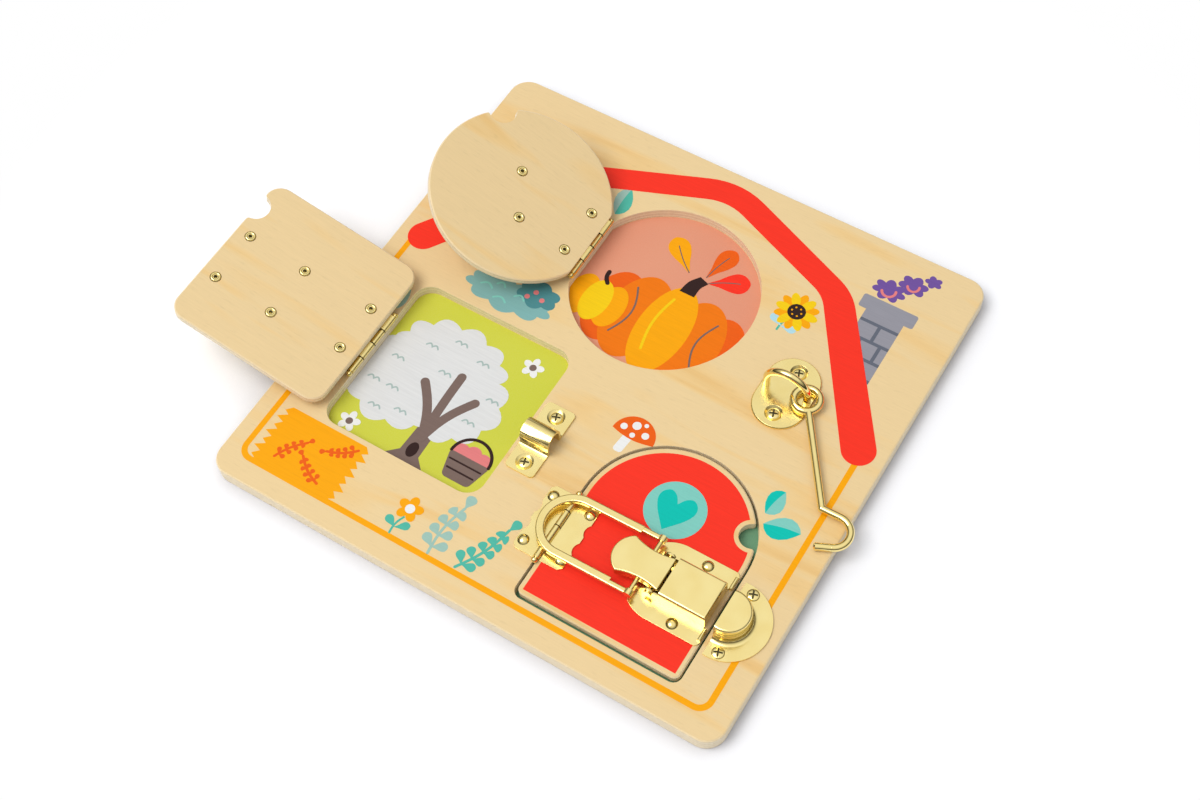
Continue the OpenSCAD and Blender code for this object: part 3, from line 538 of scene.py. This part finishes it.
def leaf(root, tip, width):
    """A pointed root and a full, round tip, like a drop."""
    a, along = Vector(root), Vector(tip) - Vector(root)
    side = quarter_left(along).normalized() * width / 2
    shape = [(0, 0), (0.25, 0.38), (0.5, 0.82), (0.72, 1), (0.9, 0.72), (1, 0)]
    upper = [a + along * t + side * w for t, w in shape]
    lower = [a + along * t - side * w for t, w in shape[-2:0:-1]]
    return smooth([tuple(p) for p in upper + lower])


def half_leaf(root, tip, width, bend):
    """One side of a leaf, from its edge to its curved midrib."""
    a, along = Vector(root), Vector(tip) - Vector(root)
    side = quarter_left(along).normalized() * width / 2
    edge = [(0, 0), (0.12, 0.34), (0.3, 0.74), (0.5, 0.97), (0.68, 1), (0.84, 0.78), (0.95, 0.4),
            (1, 0)]
    outer = [tuple(a + along * t + side * w) for t, w in edge]
    return outer + bow(tip, root, -bend)[1:-1]


def scallop(middle, rx, ry, bumps, depth, start=0.0):
    """Cloud-like outline of round bumps on an ellipse."""
    points_each = 8
    points = []
    for i in range(bumps * points_each):
        t = i / points_each
        a = math.radians(start) + 2 * math.pi * t / bumps
        lift = depth * abs(math.sin(math.pi * t))
        points.append((middle[0] + (rx + lift) * math.cos(a), middle[1] + (ry + lift) * math.sin(a)))
    return points


def left_of(points, start, end):
    """The part of an outline to the left of a line."""
    a, along = Vector(start), Vector(end) - Vector(start)
    out = []
    for i, point in enumerate(points):
        here, there = Vector(point), Vector(points[(i + 1) % len(points)])
        side, next_side = along.cross(here - a), along.cross(there - a)
        if side >= 0:
            out.append(tuple(here))
        if side * next_side < 0:
            out.append(tuple(here.lerp(there, side / (side - next_side))))
    return out


def clipped(points, window):
    """The part of an outline inside a convex window that runs anticlockwise."""
    for i, corner in enumerate(window):
        points = left_of(points, corner, window[(i + 1) % len(window)])
    return points


# ---------- prints

def solid(name, mesh):
    """Object of a mesh, at the origin."""
    data = bpy.data.meshes.new(name)
    mesh.to_mesh(data)
    mesh.free()
    thing = bpy.data.objects.new(name, data)
    bpy.context.scene.collection.objects.link(thing)
    return thing


class Print:
    """Flat shapes of ink over a base height, gathered into one object that rides on a body."""

    def __init__(self, name, body="board", base=FACE):
        self.name, self.body, self.base = name, body, base
        self.mesh = bmesh.new()
        self.inks = []
        self.shapes = 0

    def add(self, colour, outline, layer=0):
        """One shape: a thin slab from just under the base up to its layer's top."""
        if colour not in self.inks:
            self.inks.append(colour)
        low = (self.base - 0.5 * INK) * MM
        high = (self.base + INK * (layer + 1) + OVERPRINT * self.shapes) * MM
        self.shapes += 1
        flat = [Vector((x * MM, y * MM, 0)) for x, y in outline]
        bottom = [self.mesh.verts.new((p.x, p.y, low)) for p in flat]
        top = [self.mesh.verts.new((p.x, p.y, high)) for p in flat]
        faces = []
        for a, b, c in tessellate_polygon([flat]):
            if (flat[b] - flat[a]).cross(flat[c] - flat[a]).z < 0:
                b, c = c, b
            faces += [(top[a], top[b], top[c]), (bottom[a], bottom[c], bottom[b])]
        for i in range(len(flat)):
            j = (i + 1) % len(flat)
            faces.append((bottom[i], bottom[j], top[j], top[i]))
        for corners in faces:
            self.mesh.faces.new(corners).material_index = self.inks.index(colour)

    def finish(self):
        bmesh.ops.recalc_face_normals(self.mesh, faces=self.mesh.faces)
        piece = solid(self.name, self.mesh)
        for colour in self.inks:
            piece.data.materials.append(ink_of(colour))
        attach(piece, self.body)


def wall_line():
    """Orange line that closes the barn below its roof."""
    out = Print("barn_wall_line")
    left, right, low, high = -139.3, 136.6, -136.6, 24
    half = 1.6
    outer = [(left - half, high), (left - half, low - half), (right + half, low - half),
             (right + half, high)]
    inner = [(right - half, high), (right - half, low + half), (left + half, low + half),
             (left + half, high)]
    out.add("orange", rounded(outer, [0, 8, 8, 0]) + rounded(inner, [0, 5, 5, 0]))
    out.finish()


def roof_band():
    """Red band along both slopes of the barn's roof."""
    out = Print("roof_band")
    right = [(87.9, 110), (147.1, 23), (131.9, 12.6), (74.3, 100.4)]
    left = [(-x, y) for x, y in right[::-1]]
    corners = [(0, 145.9)] + right + [(0, 130.2)] + left
    out.add("red", rounded(corners, [45, 35, 9.1, 9.1, 22, 30, 22, 9.1, 9.1, 35]), layer=3)
    out.finish()


def chimney():
    """Brick chimney behind the roof band: stack, cap and the mortar between its bricks."""
    out = Print("chimney")
    left, right, neck, under_cap = 98.5, 120.7, 104.5, 0.1
    course, mortar = 11.4, 1.9
    foot = [(left, 90.5), (right, 57.6)]
    out.add("slate", [(left, neck + under_cap)] + foot + [(right, neck + under_cap)])
    out.add("slate", rounded([(93.5, neck), (125.5, neck), (125.5, 113.4), (93.5, 113.4)], 1.4))
    window = [(left, neck)] + foot + [(right, neck)]
    for i in range(4):
        y = 97.8 - course * i
        joints = [[(90, y), (130, y)]]
        joints += [[(x, y), (x, y - course)] for x in ((104.5, 116) if i % 2 else (110.3,))]
        for joint in joints:
            shape = clipped(line(joint, mortar, blunt=True), window)
            if shape:
                out.add("mortar", shape, layer=1)
    out.finish()


def smoke():
    """Three puffs of purple smoke over the chimney, two of them with a pink curl."""
    out = Print("smoke")
    out.add("purple", scallop((104, 121), 7, 4.6, 7, 2.6, start=20))
    out.add("purple", scallop((114, 130), 6, 4.4, 6, 2.4, start=50))
    out.add("purple", scallop((122.5, 137.5), 3.4, 2.6, 5, 1.6, start=10))
    for middle, radius, width in (((104, 120.6), 3.8, 1.5), ((114.2, 129.6), 3.2, 1.4)):
        out.add("pink", line(arc(middle, radius, 200, 380, 15), width), layer=1)
    out.finish()


def two_tone_leaf(out, root, tip, width, light, dark):
    """A leaf of two halves that meet at a slightly curved midrib."""
    bend = width * 0.06
    out.add(light, half_leaf(root, tip, width, bend))
    out.add(dark, half_leaf(tip, root, width, -bend)[::-1])


def loose_leaves():
    """Two-tone leaves beside the doors and under the roof."""
    out = Print("loose_leaves")
    two_tone_leaf(out, (112.7, -35.8), (131.6, -31.6), 13.2, "pale_teal", "teal")
    two_tone_leaf(out, (110.7, -30.2), (114.2, -14.6), 10.6, "teal", "pale_teal")
    two_tone_leaf(out, (-50.6, 91), (-51, 110.6), 11, "pale_sprig", "sprig")
    two_tone_leaf(out, (-121.5, -23), (-120, -8), 6, "sprig", "pale_sprig")
    out.finish()


def sprig(out, colour, root, tip, pairs, size, bend, layer=0):
    """A stem with pairs of drop-shaped leaves, smaller towards its end, and one leaf at the end."""
    stem_width, leaf_turn, shrink = 1.5, 58, 0.12
    stem = bow(root, tip, bend, 40)
    out.add(colour, line(stem, stem_width), layer=layer)
    a, b = Vector(root), Vector(tip)
    heading = math.atan2(b.y - a.y, b.x - a.x)
    for i in range(pairs):
        t = (i + 0.5) / (pairs + 0.4)
        foot = Vector(stem[round(t * (len(stem) - 1))])
        reach = size * (1 - shrink * i)
        for side in (1, -1):
            turned = heading + side * math.radians(leaf_turn)
            end = foot + Vector((math.cos(turned), math.sin(turned))) * reach
            out.add(colour, leaf(tuple(foot), tuple(end), size * 0.62), layer=layer)
    end = b + (b - a).normalized() * size * 0.95
    out.add(colour, leaf(tip, tuple(end), size * 0.7), layer=layer)


def petals(out, colour, middle, reach, rx, ry, start, n=48):
    """Five oval petals about a flower's middle."""
    for i in range(5):
        a = start + 72 * i
        out.add(colour, ellipse(polar(middle, reach, a), rx, ry, a, n), layer=1)


def garden():
    """Plants along the bottom line, left of the arched door."""
    out = Print("garden")
    sprig(out, "pale_sprig", (-23, -134.4), (-20.5, -104.5), 4, 8.6, 2)
    sprig(out, "sprig", (-7, -133.8), (5.5, -103.5), 5, 7.9, -2, layer=1)
    out.add("sprig", line(bow((-46, -134.8), (-44.5, -124), 1), 1.1))
    for tip in ((-52.5, -127), (-38.8, -126.4)):
        out.add("sprig", leaf((-45.6, -131), tip, 4.6))
    flower = (-44.4, -118.6)
    petals(out, "orange", flower, 4.2, 3.1, 2.5, 90)
    out.add("white", circle(flower, 2.6), layer=2)
    out.finish()


def hay_bale():
    """Straw bale: a block with ragged ends and three sprigs of straw on it."""
    out = Print("hay_bale")
    low, high, left, right = -135, -100.5, -131, -84
    teeth = 7
    tooth = (high - low) / teeth
    end = []
    for i in range(teeth):
        y = low + tooth * i
        end += [(right, y), (right + (5 if i % 2 else 3.2), y + tooth * 0.35)]
    start = [(left - (x - right), y) for x, y in end][::-1]
    out.add("orange", [(left, low)] + end + [(right, high), (left, high)] + start[:-1])
    for root, tip in (((-122.5, -129), (-112, -114)), ((-94, -131), (-109.5, -121.5)),
                      ((-86.5, -104.5), (-100.5, -113))):
        sprig(out, "deep_orange", root, tip, 4, 4.2, 1.2)
    out.finish()


def toadstool():
    """Spotted toadstool beside the arched door."""
    out = Print("toadstool")
    x, y, radius = 31, -26, 12
    stem = [(x - 5.8, y - 11.5), (x - 0.6, y - 11.5), (x + 0.6, y), (x - 4.6, y)]
    out.add("white", rounded(stem, [1.8, 1.8, 0, 0]))
    cap = arc((x, y), radius, 0, 180, 5) + bow((x - radius, y), (x + radius, y), -2)[1:-1]
    out.add("deep_orange", cap, layer=1)
    spots = ((-7, 3.2, 1.9), (-1.2, 6.6, 2.4), (5.6, 3.4, 2), (-0.6, 0.6, 1.5), (3.2, 9, 1.2))
    for dx, dy, r in spots:
        out.add("white", circle((x + dx, y + dy), r), layer=2)
    out.finish()


def sunflower():
    """Flower of yellow and orange petals with a dark middle and two pale leaves."""
    out = Print("sunflower")
    middle = (67.5, 84)
    out.add("sprig", line(bow((63.5, 69), (66.8, 80), 1), 1.2))
    for i in range(12):
        a = 30 * i
        colour, layer = ("orange", 1) if i % 2 else ("yellow", 2)
        out.add(colour, ellipse(polar(middle, 7.6, a), 4.6, 2.5, a), layer=layer)
    out.add("dark", circle(middle, 5), layer=3)
    for i in range(6):
        out.add("orange", circle(polar(middle, 2.8, 60 * i), 0.55), layer=4)
    for tip in ((56.5, 76.5), (73, 72.6)):
        out.add("pale_blue", leaf((64.4, 72), tip, 4.6))
    out.finish()


def bush():
    """Round bush between the square and the round door, with strokes of light and berries on it."""
    out = Print("bush")
    out.add("dusty_teal", scallop((-72, 15.5), 24, 8.2, 9, 3.2, start=10))
    out.add("dark_teal", scallop((-58, 23.5), 10.5, 6.6, 6, 2.4), layer=1)
    for x, y, w in ((-86, 15, 7), (-75, 10.5, 7.5), (-66, 16.5, 6), (-79, 19, 5)):
        out.add("pale_teal", line(bow((x - w / 2, y), (x + w / 2, y), 2), 1.1), layer=1)
    for middle in ((-60, 24.5), (-54.5, 21.5), (-63, 20)):
        out.add("pink", circle(middle, 1.5), layer=2)
    out.finish()


def blossom_tree(out, window):
    """Tree with a pale, scalloped crown and curls of shade in it."""
    trunk = [(-80, -98), (-71.5, -90), (-70.5, -70), (-60.5, -70), (-60, -90), (-52, -98)]
    out.add("bark", clipped(trunk, window))
    crowns = (((-93, -55), 27, 25, 9), ((-62, -51), 23, 23, 9),
              ((-79, -33), 30, 20, 11))
    for i, (middle, rx, ry, bumps) in enumerate(crowns):
        out.add("blossom", clipped(scallop(middle, rx, ry, bumps, 4.4, start=17 * i), window), layer=1)
    for tip, bulge in (((-83, -50), -2), ((-52.5, -48), 2), ((-67.5, -38), 0.5)):
        out.add("bark", line(bow((-65.5, -79), tip, bulge), 5), layer=2)
    out.add("dark", ellipse((-65.5, -87.5), 3, 4.6), layer=3)
    half = 3.6
    for x, y in ((-104, -45), (-96, -62), (-84, -72), (-49, -60), (-45, -43),
                 (-92, -30), (-79, -21), (-62, -26), (-108, -62), (-98, -76),
                 (-76.5, -41)):
        curl = bow((x - half, y), (x, y), 1.5) + bow((x, y), (x + half, y), 1.5)[1:]
        out.add("shadow_white", line(curl, 0.9), layer=2)


def basket(out):
    """Basket of pink fruit with a round handle and two bands."""
    for middle in ((-43, -75.5), (-30, -75.5), (-36.5, -74)):
        out.add("pink", circle(middle, 4.6), layer=1)
    sides = [(-44.5, -92), (-28.5, -92), (-24.5, -77), (-48.5, -77)]
    out.add("bark", rounded(sides, [3, 3, 1.5, 1.5]), layer=2)
    for y, inset in ((-81.5, 0), (-86.5, 1.5)):
        out.add("dark", line([(-46 + inset, y), (-27 - inset, y)], 1), layer=3)
    out.add("dark", line(arc((-36.5, -77), 11.4, 0, 180, 8), 1.7), layer=3)


def square_scene():
    """Blossom tree, basket and two flowers on the lime card."""
    out = Print("blossom_tree", base=RECESS)
    (left, low), (right, high) = (-116.6, -97.6), (-19.8, 0.2)
    window = rounded([(left, low), (right, low), (right, high), (left, high)], 12)
    blossom_tree(out, window)
    basket(out)
    for flower in ((-38, -14), (-104, -90)):
        petals(out, "white", flower, 3.6, 2.7, 2, 18, n=24)
        out.add("bark", circle(flower, 2), layer=2)
    out.finish()


def large_pumpkin(out, window):
    """Pumpkin of five ribs, the middle one in front, with a stalk and lines on its ribs."""
    x, y = 9, 41.5
    ribs = ((-31, 15, 24, "deep_orange"), (31, 15, 24, "deep_orange"), (-17, 17, 28, "pumpkin"),
            (17, 17, 28, "pumpkin"), (0, 14.5, 30, "orange"))
    for i, (dx, rx, ry, colour) in enumerate(ribs):
        out.add(colour, clipped(ellipse((x + dx, y), rx, ry), window), layer=i / 2)
    stalk = curve([(x - 4.5, y + 26.5), (x - 3, y + 34), (x + 1, y + 40)])
    stalk += curve([(x + 7, y + 38), (x + 4.6, y + 33), (x + 4.5, y + 26.5)])
    out.add("dark", stalk, layer=4)
    out.add("yellow", line(bow((x - 4, y + 20), (x - 4, y - 16), -2.8), 1.6), layer=4)
    for side in (-1, 1):
        rib_x = x + side * 25
        out.add("bark", line(bow((rib_x, y + 17), (rib_x, y - 15), -side * 5), 1), layer=4)


def small_pumpkin(out, window):
    """Pumpkin of three ribs with a leaning stalk."""
    x, y = -32, 40
    for i, (dx, rx, colour) in enumerate(((-9, 8.5, "orange"), (9, 8.5, "orange"), (0, 8, "yellow"))):
        out.add(colour, clipped(ellipse((x + dx, y), rx, 14), window), layer=3 + i / 2)
    out.add("dark", line(bow((x, y + 12.5), (x - 3, y + 19.5), 1), 2.4), layer=5)


def round_scene():
    """Two pumpkins and three veined leaves on the salmon card."""
    out = Print("harvest", base=RECESS)
    window = circle((-1.4, 62.2), 52.1)
    large_pumpkin(out, window)
    small_pumpkin(out, window)
    for root, tip, width, colour in (
        ((16, 80), (36, 91), 13, "red"),
        ((13, 83), (19, 106), 11.5, "deep_orange"),
        ((3, 81), (-15, 98), 12.5, "orange"),
    ):
        out.add(colour, leaf(root, tip, width), layer=1)
        vein_end = tuple(Vector(root).lerp(Vector(tip), 0.75))
        out.add("bark", line(bow(root, vein_end, 0.6), 0.6), layer=2)
    out.finish()


def door_print():
    """Red field of the arched door, with a notch at its right shoulder and a heart in a circle."""
    out = Print("door_print", "arched_door")
    side_gap, foot_gap, top_gap = 2.5, 2.6, 3
    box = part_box("arched_door")
    left, right = box[0].x / MM + side_gap, box[1].x / MM - side_gap
    low = box[0].y / MM + foot_gap
    radius = (right - left) / 2
    middle = ((left + right) / 2, box[1].y / MM - top_gap - radius)
    notch, notch_r = (111.5, -44.8), 9.2
    gap = Vector(notch) - Vector(middle)
    away, heading = gap.length, math.degrees(math.atan2(gap.y, gap.x))
    # half angles of the notch's opening, seen from the arch's middle and from the notch's own
    open_at = math.degrees(math.acos((radius ** 2 + away ** 2 - notch_r ** 2) / (2 * radius * away)))
    inner = math.degrees(math.acos((notch_r ** 2 + away ** 2 - radius ** 2) / (2 * notch_r * away)))
    field = arc(middle, radius, heading + open_at, 180, 3)
    field += [(left, low), (right, low)]
    field += arc(middle, radius, 0, heading - open_at, 3)
    field += arc(notch, notch_r, heading + 180 + inner, heading + 180 - inner, 8)[1:-1]
    out.add("red", field)
    out.add("pale_teal", circle((71.2, -51.5), 16.2), layer=1)
    out.add("teal", heart((70.6, -51.6), 9.8), layer=2)
    out.finish()


# ---------- wood and metal

def at_rest(door):
    """Turns an open door from shut to where it rests: its joint's whole range."""
    joint = JOINT[door + "_hinge"]
    x, _, z = joint["pos_m"]
    pin = Matrix.Translation((x, 0, z))
    return pin @ Matrix.Rotation(-math.radians(joint["range_deg"][1]), 4, "Y") @ pin.inverted()


def crown(mesh, radius):
    """Rolls the rim of a mesh's flat top over by the given radius."""
    top = max(vertex.co.z for vertex in mesh.verts) - CROWN_DEPTH * MM
    sharp = math.radians(CROWN_FROM)
    rim = [edge for edge in mesh.edges
           if all(vertex.co.z > top for vertex in edge.verts) and edge.calc_face_angle(0.0) > sharp]
    bmesh.ops.bevel(mesh, geom=rim, offset=radius * MM, segments=4, profile=0.5, affect="EDGES",
                    clamp_overlap=True)


def worked(node, mesh, place, material, width, segments, cuts=()):
    """Dressed piece of a node from a mesh: cut, with rounded edges and even faces, put in its place."""
    piece = solid(node + "_dressed", mesh)
    # screws get a second slot of painted-shade brass, which the cross cutters leave in their recesses
    for each in (material, SHADE) if node in SCREWS else (material,):
        piece.data.materials.append(each)
    for polygon in piece.data.polygons:
        polygon.use_smooth = True
    tools = [solid("cutter", cut) for cut in cuts]
    for tool in tools:
        carve = piece.modifiers.new("carve", "BOOLEAN")
        carve.operation = "DIFFERENCE"
        carve.solver = "EXACT"
        carve.object = tool
    bevel = piece.modifiers.new("round", "BEVEL")
    bevel.width = width * MM
    bevel.segments = segments
    bevel.limit_method = "ANGLE"
    bevel.angle_limit = math.radians(ROUND_FROM)
    bevel.use_clamp_overlap = True
    even = piece.modifiers.new("flat", "WEIGHTED_NORMAL")
    even.mode = "FACE_AREA"
    even.weight = 100
    even.keep_sharp = False
    bpy.context.view_layer.update()
    graph = bpy.context.evaluated_depsgraph_get()
    done = bpy.data.meshes.new_from_object(piece.evaluated_get(graph))
    piece.modifiers.clear()
    piece.data = done
    piece.matrix_world = place
    for tool in tools:
        bpy.data.objects.remove(tool)
    return piece


def rounded_copy(node, place, material, width, segments, cuts=()):
    """Dressed piece of a node from its own mesh, which is first taken back to its shut place."""
    data = frame["nodes"][node].data.copy()
    data.transform(place.inverted())
    mesh = bmesh.new()
    mesh.from_mesh(data)
    bmesh.ops.remove_doubles(mesh, verts=mesh.verts, dist=1e-6)
    bmesh.ops.dissolve_limit(mesh, angle_limit=math.radians(1.0), verts=mesh.verts, edges=mesh.edges,
                             delimit=set())
    if node in CROWNS:
        crown(mesh, CROWNS[node])
    return worked(node, mesh, place, material, width, segments, cuts)


def lathe(profile, middles):
    """Mesh of (radius, height) points turned about Z through each of the middles."""
    steps = 40
    mesh = bmesh.new()
    for x, y in middles:
        rings = []
        for radius, height in profile:
            count = steps if radius else 1
            spots = [polar((x, y), radius, 360 * i / count) for i in range(count)]
            rings.append([mesh.verts.new((px * MM, py * MM, height * MM)) for px, py in spots])
        for low, high in zip(rings, rings[1:]):
            for i in range(steps):
                j = i + 1
                corners = (low[i % len(low)], low[j % len(low)], high[j % len(high)], high[i % len(high)])
                mesh.faces.new(list(dict.fromkeys(corners)))
    bmesh.ops.recalc_face_normals(mesh, faces=mesh.faces)
    return mesh


def ring(inner, outer, low, high, middles):
    """Mesh of a square-edged ring about each of the middles."""
    return lathe([(inner, low), (outer, low), (outer, high), (inner, high), (inner, low)], middles)


def shade_ring(name, mesh, place, body):
    """Piece of painted shade from a ring's mesh, that rides on a body."""
    piece = solid(name, mesh)
    piece.data.materials.append(SHADE)
    piece.matrix_world = place
    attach(piece, body)


def dimples(plate):
    """Cutter that sinks both screws of a plate."""
    screws, thickness = SUNK_PLATES[plate]
    middles, seat, _ = SCREWS[screws]
    low, high = FACE + seat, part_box(plate)[0].z / MM + thickness
    over = high + CUTTER_OVER
    return lathe([(0, low), (HEAD_R + DIMPLE_GAP, low), (DIMPLE_R, high), (DIMPLE_R + CUTTER_FLARE, over),
                  (0, over)], middles)


def cross_bars(middles, height, turn):
    """Cutter of one bar in each of the middles: one stroke of the screws' crosses, with painted shade inside."""
    mesh = bmesh.new()
    size = Matrix.Diagonal((CROSS_LONG * MM, CROSS_WIDE * MM, 2 * CROSS_DEEP * MM, 1.0))
    turned = Matrix.Rotation(math.radians(turn), 4, "Z")
    for x, y in middles:
        place = Matrix.Translation((x * MM, y * MM, height * MM))
        bmesh.ops.create_cube(mesh, size=1.0, matrix=place @ turned @ size)
    for face in mesh.faces:
        # slot 1: painted shade on the cross's walls and floor
        face.material_index = 1
    return mesh


def screw_heads(node):
    """Both cross-recessed screws of a node: shank, low domed head and cross."""
    middles, seat, rise = SCREWS[node]
    foot = FACE + seat
    profile = [(0, FACE - SHANK_DEEP), (SHANK_R, FACE - SHANK_DEEP), (SHANK_R, foot), (HEAD_R, foot)]
    for i in range(HEAD_STEPS + 1):
        a = math.pi / 2 * i / HEAD_STEPS
        radius = HEAD_R * math.cos(a) if i < HEAD_STEPS else 0
        profile.append((radius, foot + HEAD_RIM + (rise - HEAD_RIM) * math.sin(a)))
    cuts = [cross_bars(middles, foot + rise, turn) for turn in (CROSS_TURN, CROSS_TURN + 90)]
    return worked(node, lathe(profile, middles), Matrix.Identity(4), WIRE, HEAD_ROUND, 2, cuts)


def dress_cards():
    """Bare cards of the pictures: each thinner than its node by the ink that lies on it."""
    for node, (slot, colour, deeper) in CARDS.items():
        data = frame["nodes"][node].data.copy()
        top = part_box(node)[1].z
        for vertex in data.vertices:
            if top - vertex.co.z < 0.01 * MM:
                vertex.co.z = RECESS * MM
        data.materials.clear()
        data.materials.append(card(slot, colour, deeper))
        piece = bpy.data.objects.new(node + "_dressed", data)
        bpy.context.scene.collection.objects.link(piece)
        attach(piece, "board")
        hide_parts(node)


def dress_nodes():
    """Brass for the CAD nodes that stay as they are; the other nodes are replaced later and hidden."""
    for name, node in frame["nodes"].items():
        polished = name in POLISHED or name.endswith(POLISHED_ENDINGS)
        node.data.materials.clear()
        node.data.materials.append(WIRE if polished else METAL)


def dress_wood():
    """Boards and doors with rounded edges and their own grain."""
    for node, width in WOODEN.items():
        place = at_rest(node) if node in TAILS else Matrix.Identity(4)
        piece = rounded_copy(node, place, WOOD, width, 3)
        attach(piece, BODY_OF[node])
        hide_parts(node)


def dress_metal():
    """Stamped parts with the small round that tumbling leaves on their edges, and the screws."""
    pieces = []
    for node, width in STAMPED.items():
        cuts = [dimples(node)] if node in SUNK_PLATES else []
        pieces.append((node, rounded_copy(node, Matrix.Identity(4), METAL, width, 2, cuts)))
    pieces += [(node, screw_heads(node)) for node in SCREWS]
    for node, piece in pieces:
        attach(piece, BODY_OF[node])
        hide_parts(node)


def dress_tails():
    """Painted shade round the seat of each rolled rim on the open doors' backs, and painted shade in its bore."""
    for door, middles in TAILS.items():
        for name, (inner, outer, low, high) in TAIL_SHADE_RINGS.items():
            mesh = ring(inner, outer, DOOR_BACK + low, DOOR_BACK + high, middles)
            shade_ring(door + "_tail_" + name, mesh, at_rest(door), door)


def dress_seams():
    """Rings of painted shade at the end of each hinge's first knuckle and at both ends of its third."""
    for door in ("square_door", "round_door", "arched_door"):
        x, y, z = JOINT[door + "_hinge"]["pos_m"]
        for seam, turn in ((-1, 90), (0, -90), (1, 90)):
            mesh = ring(SEAM_SHADE_INNER_R, SEAM_SHADE_R, SEAM_SHADE_START, SEAM_SHADE_START + SEAM_SHADE_WIDE, [(0, 0)])
            place = Matrix.Translation((x, y + seam * KNUCKLE_LONG * MM, z))
            turned = Matrix.Rotation(math.radians(turn), 4, "X")
            shade_ring("%s_hinge_seam_%d" % (door, seam + 2), mesh, place @ turned, "board")


# ---------- stage

def floor_material():
    """Pale floor: seen as white away from the part, and near it with its shadow and a painted contact shade."""
    s = Shader("pale_floor")
    s.set(Base_Color=FLOOR_COLOUR, Roughness=0.9, Specular_IOR_Level=0.0)
    # painted shade: ambient occlusion darkens the floor's seen colour near the part
    beside = s.new("AmbientOcclusion")
    beside.samples = 8
    beside.inputs["Distance"].default_value = CONTACT_REACH
    shade = s.steps(beside.outputs["AO"], (0.4, PAINTED_CONTACT_SHADE), (0.97, (1.0, 1.0, 1.0)))
    near = s.new("BsdfDiffuse")
    s.link(s.mix(1.0, shade, FLOOR_SEEN, blend="MULTIPLY"), near.inputs["Color"])
    far = s.new("Emission")
    distance = s.new("VectorMath")
    distance.operation = "LENGTH"
    s.link(s.coords.outputs["Object"], distance.inputs[0])
    away = s.spread(distance.outputs["Value"], WHITE_FROM, WHITE_TO)
    shown = mix_shaders(s.tree, away, near.outputs[0], far.outputs[0])
    paths = s.new("LightPath").outputs
    seen = s.math("MAXIMUM", paths["Is Camera Ray"], paths["Is Transmission Ray"])
    seen = s.math("MAXIMUM", seen, paths["Is Glossy Ray"])
    surface = mix_shaders(s.tree, seen, s.main.outputs[0], shown)
    s.link(surface, s.tree.nodes["Material Output"].inputs["Surface"])
    return s.material


def make_floor(scene):
    data = bpy.data.meshes.new("floor")
    corners = [(x * FLOOR_HALF, y * FLOOR_HALF, 0) for x, y in ((-1, -1), (1, -1), (1, 1), (-1, 1))]
    data.from_pydata(corners, [], [(0, 1, 2, 3)])
    data.materials.append(floor_material())
    floor = bpy.data.objects.new("floor", data)
    scene.collection.objects.link(floor)


def studio(scene):
    """Even light on the part, white behind it, and for metal a world that is dim low down."""
    world = bpy.data.worlds.new("studio")
    world.use_nodes = True
    scene.world = world
    tree = world.node_tree

    def background(colour=(1.0, 1.0, 1.0, 1.0), strength=1.0):
        node = tree.nodes.new("ShaderNodeBackground")
        node.inputs["Color"].default_value = colour
        node.inputs["Strength"].default_value = strength
        return node

    white = background()
    level = background(LEVEL_COLOUR, LEVEL)
    reflected = background()
    direction = tree.nodes.new("ShaderNodeTexCoord")
    axes = tree.nodes.new("ShaderNodeSeparateXYZ")
    tree.links.new(direction.outputs["Generated"], axes.inputs[0])
    stops = [(height, (*colour, 1.0)) for height, colour in REFLECTED]
    tree.links.new(colour_ramp(tree, axes.outputs["Z"], stops), reflected.inputs["Color"])
    paths = tree.nodes.new("ShaderNodeLightPath").outputs
    seen = mix_shaders(tree, paths["Is Glossy Ray"], level.outputs[0], reflected.outputs[0])
    seen = mix_shaders(tree, paths["Is Transmission Ray"], seen, white.outputs[0])
    seen = mix_shaders(tree, paths["Is Camera Ray"], seen, white.outputs[0])
    tree.links.new(seen, tree.nodes["World Output"].inputs["Surface"])


def softbox(scene):
    """Square soft light high on the left, turned to the board."""
    data = bpy.data.lights.new("softbox", "AREA")
    data.shape = "RECTANGLE"
    data.size, data.size_y = SOFTBOX_SIDE, SOFTBOX_SIDE
    data.energy = SOFTBOX_WATTS
    data.color = SOFTBOX_COLOUR
    light = bpy.data.objects.new("softbox", data)
    light.location = SOFTBOX_PLACE
    light.rotation_euler = (-Vector(SOFTBOX_PLACE)).to_track_quat("-Z", "Y").to_euler()
    scene.collection.objects.link(light)


def photograph(scene):
    """Camera high over the board's lower right, rolled a little."""
    data = bpy.data.cameras.new("camera")
    data.sensor_width = CAMERA_SENSOR
    data.lens = CAMERA_LENS
    data.clip_start = CAMERA_NEAR
    camera = bpy.data.objects.new("camera", data)
    scene.collection.objects.link(camera)
    roll = Matrix.Rotation(math.radians(CAMERA_ROLL), 3, "Z").to_quaternion()
    turn = (CAMERA_AIM - CAMERA_PLACE).to_track_quat("-Z", "Y") @ roll
    camera.location = CAMERA_PLACE
    camera.rotation_euler = turn.to_euler()
    scene.camera = camera


def stage():
    """Pale floor, studio, soft light and camera."""
    scene = bpy.context.scene
    scene.view_settings.view_transform = "Standard"
    make_floor(scene)
    studio(scene)
    softbox(scene)
    photograph(scene)


stage()
dress_cards()
dress_nodes()
dress_wood()
dress_metal()
dress_tails()
dress_seams()
for draw in (wall_line, roof_band, chimney, smoke, loose_leaves, garden, hay_bale, toadstool, sunflower,
             bush, square_scene, round_scene, door_print):
    draw()

bpy.context.view_layer.update()
